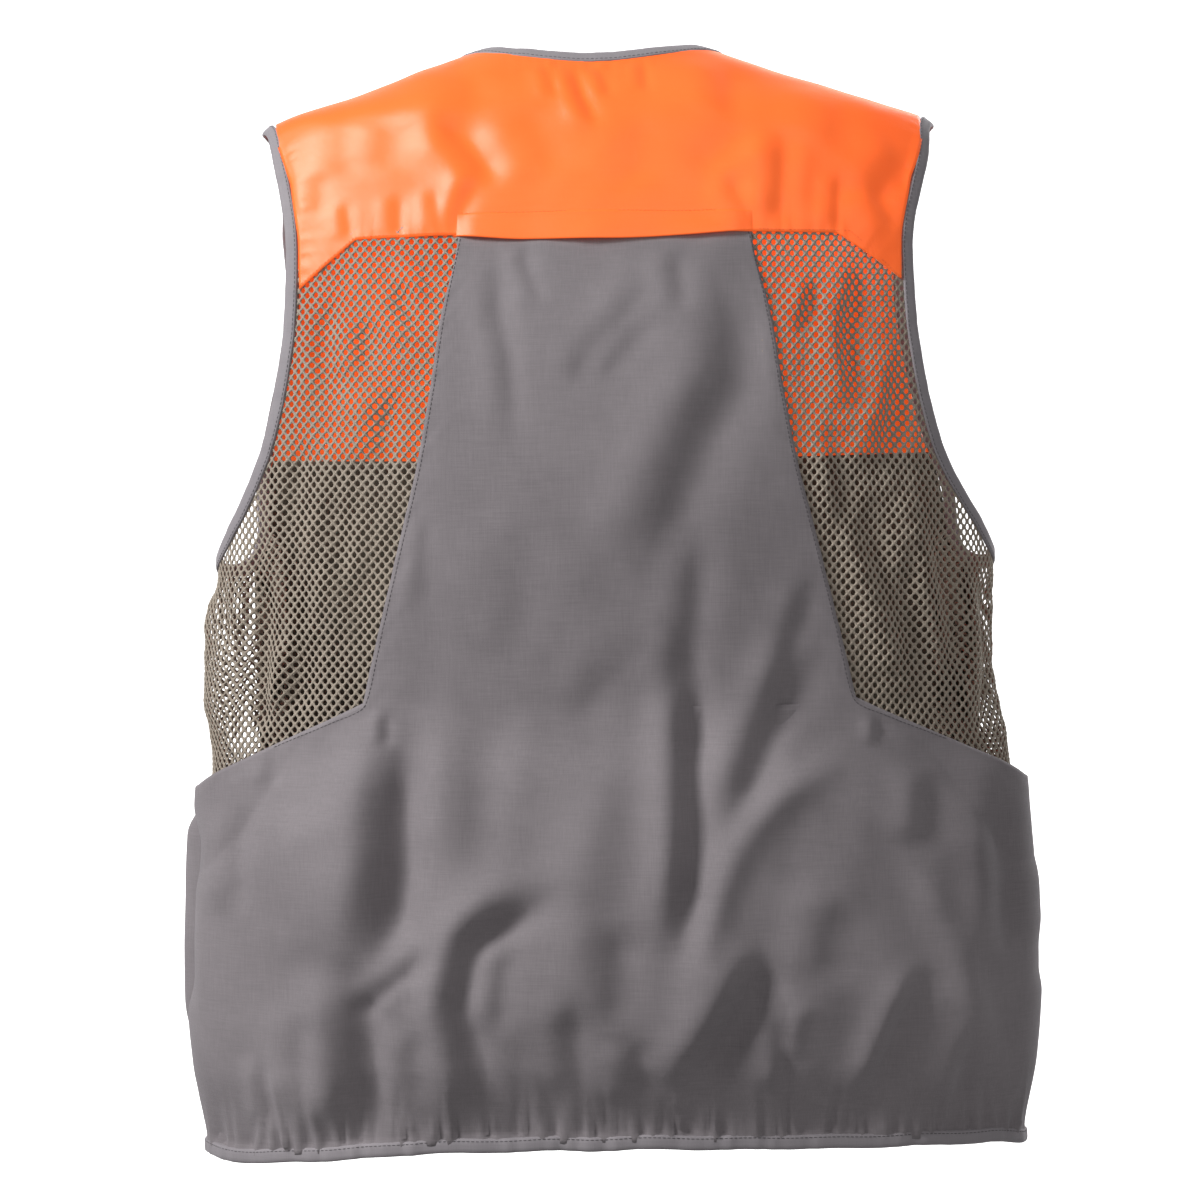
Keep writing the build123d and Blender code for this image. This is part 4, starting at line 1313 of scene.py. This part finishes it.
def pocket_flap(side, word):
    """The flap: a ledge from its seam, a soft fold, and a drop with rounded lower corners."""
    body = "pocket_flap_" + word
    total = LEDGE_OUT - LEDGE_IN + POCKET_DROP
    t, s = np.meshgrid(np.linspace(0.3, total, 58), np.linspace(-1, 1, 95), indexing="ij")
    corner = np.clip((t - (total - 9)) / 9, 0, 1)
    half = FLAP_WIDE - 9 * (1 - np.sqrt(1 - corner**2))
    across = s * half
    out, z = flap_profile(t)
    drop = step(t, 14, total)
    wave = 0.7 * ripples(across, z * 0.7, 70, 221 + side) * drop
    out = out + np.abs(wave) * 0.9 + 0.8 * drop**2 + 1.2 * drop * (np.abs(s) > 0.8) * (np.abs(s) - 0.8) / 0.2
    points = pocket_place(across, out, z, side)
    obj = flat_sheet("pocket_flap_cloth_" + word, points, OLIVE, [body], body,
                     0.9, side > 0)
    for inset in (2.2, 7.0):
        sides = [(-FLAP_WIDE + inset, d) for d in np.arange(14, total - inset - 5, 2.5)]
        round_corner = [(-FLAP_WIDE + inset + 5 - 5 * math.cos(a), total - inset - 5 + 5 * math.sin(a))
                        for a in np.linspace(0.3, 1.5, 4)]
        low = [(a, total - inset) for a in np.arange(-FLAP_WIDE + inset + 6, 0, 2.5)]
        half_line = np.array(sides + round_corner + low)
        line = np.vstack([half_line, (half_line * (-1, 1))[::-1]])
        out, z = flap_profile(line[:, 1])
        seam = pocket_place(line[:, 0], out + 1.5, z, side)
        stitches(f"flap_stitches_{word}_{int(inset)}", obj, seam, body)
    flap_seam(side, word)


def flap_seam(side, word):
    """The band of cloth that carries the flap: sewn to the chest above it and down to the flap's seam."""
    across = np.linspace(-FLAP_WIDE, FLAP_WIDE, 91)[None, :]
    t = np.linspace(0, 1, 15)[:, None]
    z = LEDGE_Z - 0.3 + 8 * (1 - t) + 0 * across
    chest = chest_out(across + 0 * z, z) + 0.45
    out = chest + (np.maximum(LEDGE_IN - 1.0, chest) - chest) * t**4
    points = pocket_place(across + 0 * t, out, z, side)
    obj = flat_sheet("pocket_flap_seam_" + word, points, OLIVE, [], "vest",
                     0.5, side < 0)
    line = points[4] + (0, -0.5, 0)
    stitches("flap_seam_stitches_" + word, obj, line, radius=0.18)


def lathe(name, profile, out, z, side, replaces, body, sides=40):
    """A turned metal part on the pocket's middle line: (radius, distance out) pairs about an axis that leans
    with the flap."""
    turns = np.arange(sides) * 2 * math.pi / sides
    lean = math.atan(FRONT_SLOPE)
    points = []
    for radius, rise in profile:
        across, up = radius * np.cos(turns), radius * np.sin(turns)
        ring_out = out + rise * math.cos(lean) - up * math.sin(lean)
        ring_z = z + up * math.cos(lean) + rise * math.sin(lean)
        points.append(pocket_place(across, ring_out, ring_z, side))
    faces = ring_faces(len(profile), sides)
    if side < 0:
        faces = [face[::-1] for face in faces]
    new_mesh(name, np.vstack(points), faces, SNAP_METAL, body, replaces)


def snaps(side, word):
    """The snap's domed cap on the flap, and its stud on the pocket behind."""
    z = LEDGE_Z - SNAP_DROP
    out = LEDGE_OUT + FRONT_SLOPE * SNAP_DROP
    dome = [(4.6, 0.15), (5.7, 0.2), (6.0, 0.6), (5.8, 1.1), (5.2, 1.4), (4.7, 1.2), (4.4, 1.15),
            (4.1, 1.35), (3.2, 1.65), (2.0, 1.8), (0.9, 1.85)]
    lathe("snap_dome_" + word, dome, out + 0.5, z, side, ["snap_cap_" + word], "pocket_flap_" + word)
    post = [(2.6, -0.05), (3.4, 0.0), (3.5, 0.3), (3.1, 0.45), (1.5, 0.5), (1.4, 0.85), (1.1, 1.0),
            (0.5, 1.05)]
    lathe("snap_post_" + word, post, out - 2.8, z, side, ["snap_stud_" + word], "vest")


# ---------------------------------------------------------------- hanger loop
def hanger_loop():
    """A narrow woven strap in a U, its two ends caught under the neck binding and bar-tacked."""
    half, top, low, radius = 22.0, 705.5, 680.0, 9.0
    strap_y, strap_half = 43.2, 3.4
    arc = [(half - radius + radius * math.cos(a), low + radius - radius * math.sin(a))
           for a in np.linspace(0, math.pi / 2, 9)]
    right = np.vstack([[(half, z) for z in np.linspace(top, low + radius, 12)], arc[1:]])
    line = resample(np.vstack([right, (right * (-1, 1))[::-1]]), spacing=1.0)
    ahead = np.gradient(line, axis=0)
    ahead /= np.linalg.norm(ahead, axis=1, keepdims=True)
    across = np.stack([ahead[:, 1], -ahead[:, 0]], 1)
    width = np.linspace(-strap_half, strap_half, 8)
    flat = line[:, None, :] + across[:, None, :] * width[None, :, None]
    sag = 0.35 * noise(np.arange(len(line)) / 14, 231)[:, None] + 0.12 * np.cos(width * 2.8)[None, :]
    y = strap_y - 0.6 * np.sin(math.pi * np.linspace(0, 1, len(line)))[:, None] + sag
    points = np.stack([flat[..., 0], y, flat[..., 1]], -1)
    obj = new_mesh("hanger_strap", points.reshape(-1, 3), grid_faces(*points.shape[:2]), TAPE, "vest",
                   ["hanger_loop"], 1.0)
    for side in (1, -1):
        for z in (top - 3.5, top - 4.3, top - 5.1):
            tack = np.array([(side * (half + a), 40.5, z) for a in np.arange(-3.2, 3.3, 0.9)])
            stitches(f"hanger_tack_{side}_{int(z * 10)}", obj, tack, pitch=0.9, length=0.9, radius=0.2)


yoke = back_yoke()
flap = vent_flap()
bag = game_bag()
bag_lining()
FRONTS = {}
for side, word in ((1, "left"), (-1, "right")):
    net_panel(side, word)
    FRONTS[side] = front_yoke(side, word)
    front_panel(side, word)
    zip_tape(side, word)
    zip_teeth(side, word)
    pocket(side, word)
    pocket_flap(side, word)
    snaps(side, word)
zip_metal_parts()
hanger_loop()
bindings()


# ---------------------------------------------------------------- seams and stitch lines on the back
def seam_lines():
    """Stitch lines of the slanted seams, the yoke's edge and the vent flap."""
    for side, word in ((1, "left"), (-1, "right")):
        edge = [(x - 2.2, z - 1) for x, z in PANEL_EDGE[1:]] + [(x - 1, z - 3.0) for x, z in BAG_EDGE]
        stitches("panel_stitches_" + word, bag, skin_line(along_line(edge, 3), side))
        seam = resample(np.array(YOKE_BOTTOM[:3][::-1], float) + (0, 1.6), spacing=3)
        stitches("yoke_stitches_" + word, yoke, skin_line(seam, side),
                 thread=ORANGE_THREAD, pitch=2.6, length=1.7, radius=0.16)
    line = np.array([(91, 603), (60, 601.6), (0, 601), (-60, 601.8), (-91, 603)], float)
    stitches("flap_stitches", flap, skin_line(resample(line, spacing=2), 1), "vent_flap",
             ORANGE_THREAD, 2.6, 1.7, 0.2)


def skin_line(points, side):
    """Garment points on the back of the skin for outline points (x, z)."""
    uv = unroll(points) * np.array([side, 1])
    return skin(uv[:, 0], uv[:, 1], 1.5)[0]


seam_lines()


# ---------------------------------------------------------------- stage
def stage():
    """A white sweep behind and below the vest, a little bright so that it stays white."""
    white = bpy.data.materials.new("studio_white")
    white.use_nodes = True
    shader = white.node_tree.nodes["Principled BSDF"]
    shader.inputs["Base Color"].default_value = (0.93, 0.93, 0.93, 1)
    shader.inputs["Roughness"].default_value = 0.9
    shader.inputs["Emission Color"].default_value = (1, 1, 1, 1)
    shader.inputs["Emission Strength"].default_value = 0.95
    floor_z = ORIGIN_Z / 1000 - 0.9
    sweep_line = [(-2.6, floor_z), (-3.0, floor_z)]
    sweep_line += [(-3.0 - 0.8 * math.sin(t), floor_z + 0.8 - 0.8 * math.cos(t))
                   for t in np.linspace(0.1, math.pi / 2, 14)]
    sweep_line += [(-3.8, 2.4)]
    points = [(x, y, z) for y, z in sweep_line for x in (-3.5, 3.5)]
    faces = [(2 * k, 2 * k + 1, 2 * k + 3, 2 * k + 2) for k in range(len(sweep_line) - 1)]
    add_object("studio_sweep", points, faces, white)


def area_light(name, spot, aim, size, power):
    """A square light at spot, in metres, facing aim."""
    data = bpy.data.lights.new(name, "AREA")
    data.shape = "SQUARE"
    data.size = size
    data.energy = power
    obj = bpy.data.objects.new(name, data)
    obj.location = spot
    obj.rotation_euler = (Vector(aim) - Vector(spot)).to_track_quat("-Z", "Y").to_euler()
    bpy.context.scene.collection.objects.link(obj)


def lights():
    """One key light, a weak fill on the other side and one light for the front."""
    world = bpy.data.worlds.new("studio")
    bpy.context.scene.world = world
    world.use_nodes = True
    world.node_tree.nodes["Background"].inputs["Color"].default_value = (1, 1, 1, 1)
    world.node_tree.nodes["Background"].inputs["Strength"].default_value = 0.3
    middle = (0, 0, -0.35)
    area_light("key", (2.3, 1.3, 1.35), middle, 0.8, 116)
    area_light("fill", (-0.9, 2.6, 0.6), middle, 1.6, 12)
    area_light("front_key", (-1.5, -1.8, 0.9), middle, 1.2, 26)


def camera():
    """85 mm lens level with the middle of the back, and the vest leaning 0.75 degrees in the frame."""
    data = bpy.data.cameras.new("camera")
    data.lens, data.sensor_width = 85, 36
    data.clip_end = 20
    obj = bpy.data.objects.new("camera", data)
    back, mid_height, distance = ORIGIN_Y + 100, 358, 1.765
    obj.location = (0.006, back / 1000 + distance, (mid_height + ORIGIN_Z) / 1000)
    obj.rotation_euler = (math.pi / 2, math.radians(0.75), math.pi)
    bpy.context.scene.collection.objects.link(obj)
    bpy.context.scene.camera = obj


stage()
lights()
camera()
bpy.context.scene.view_settings.view_transform = "Standard"
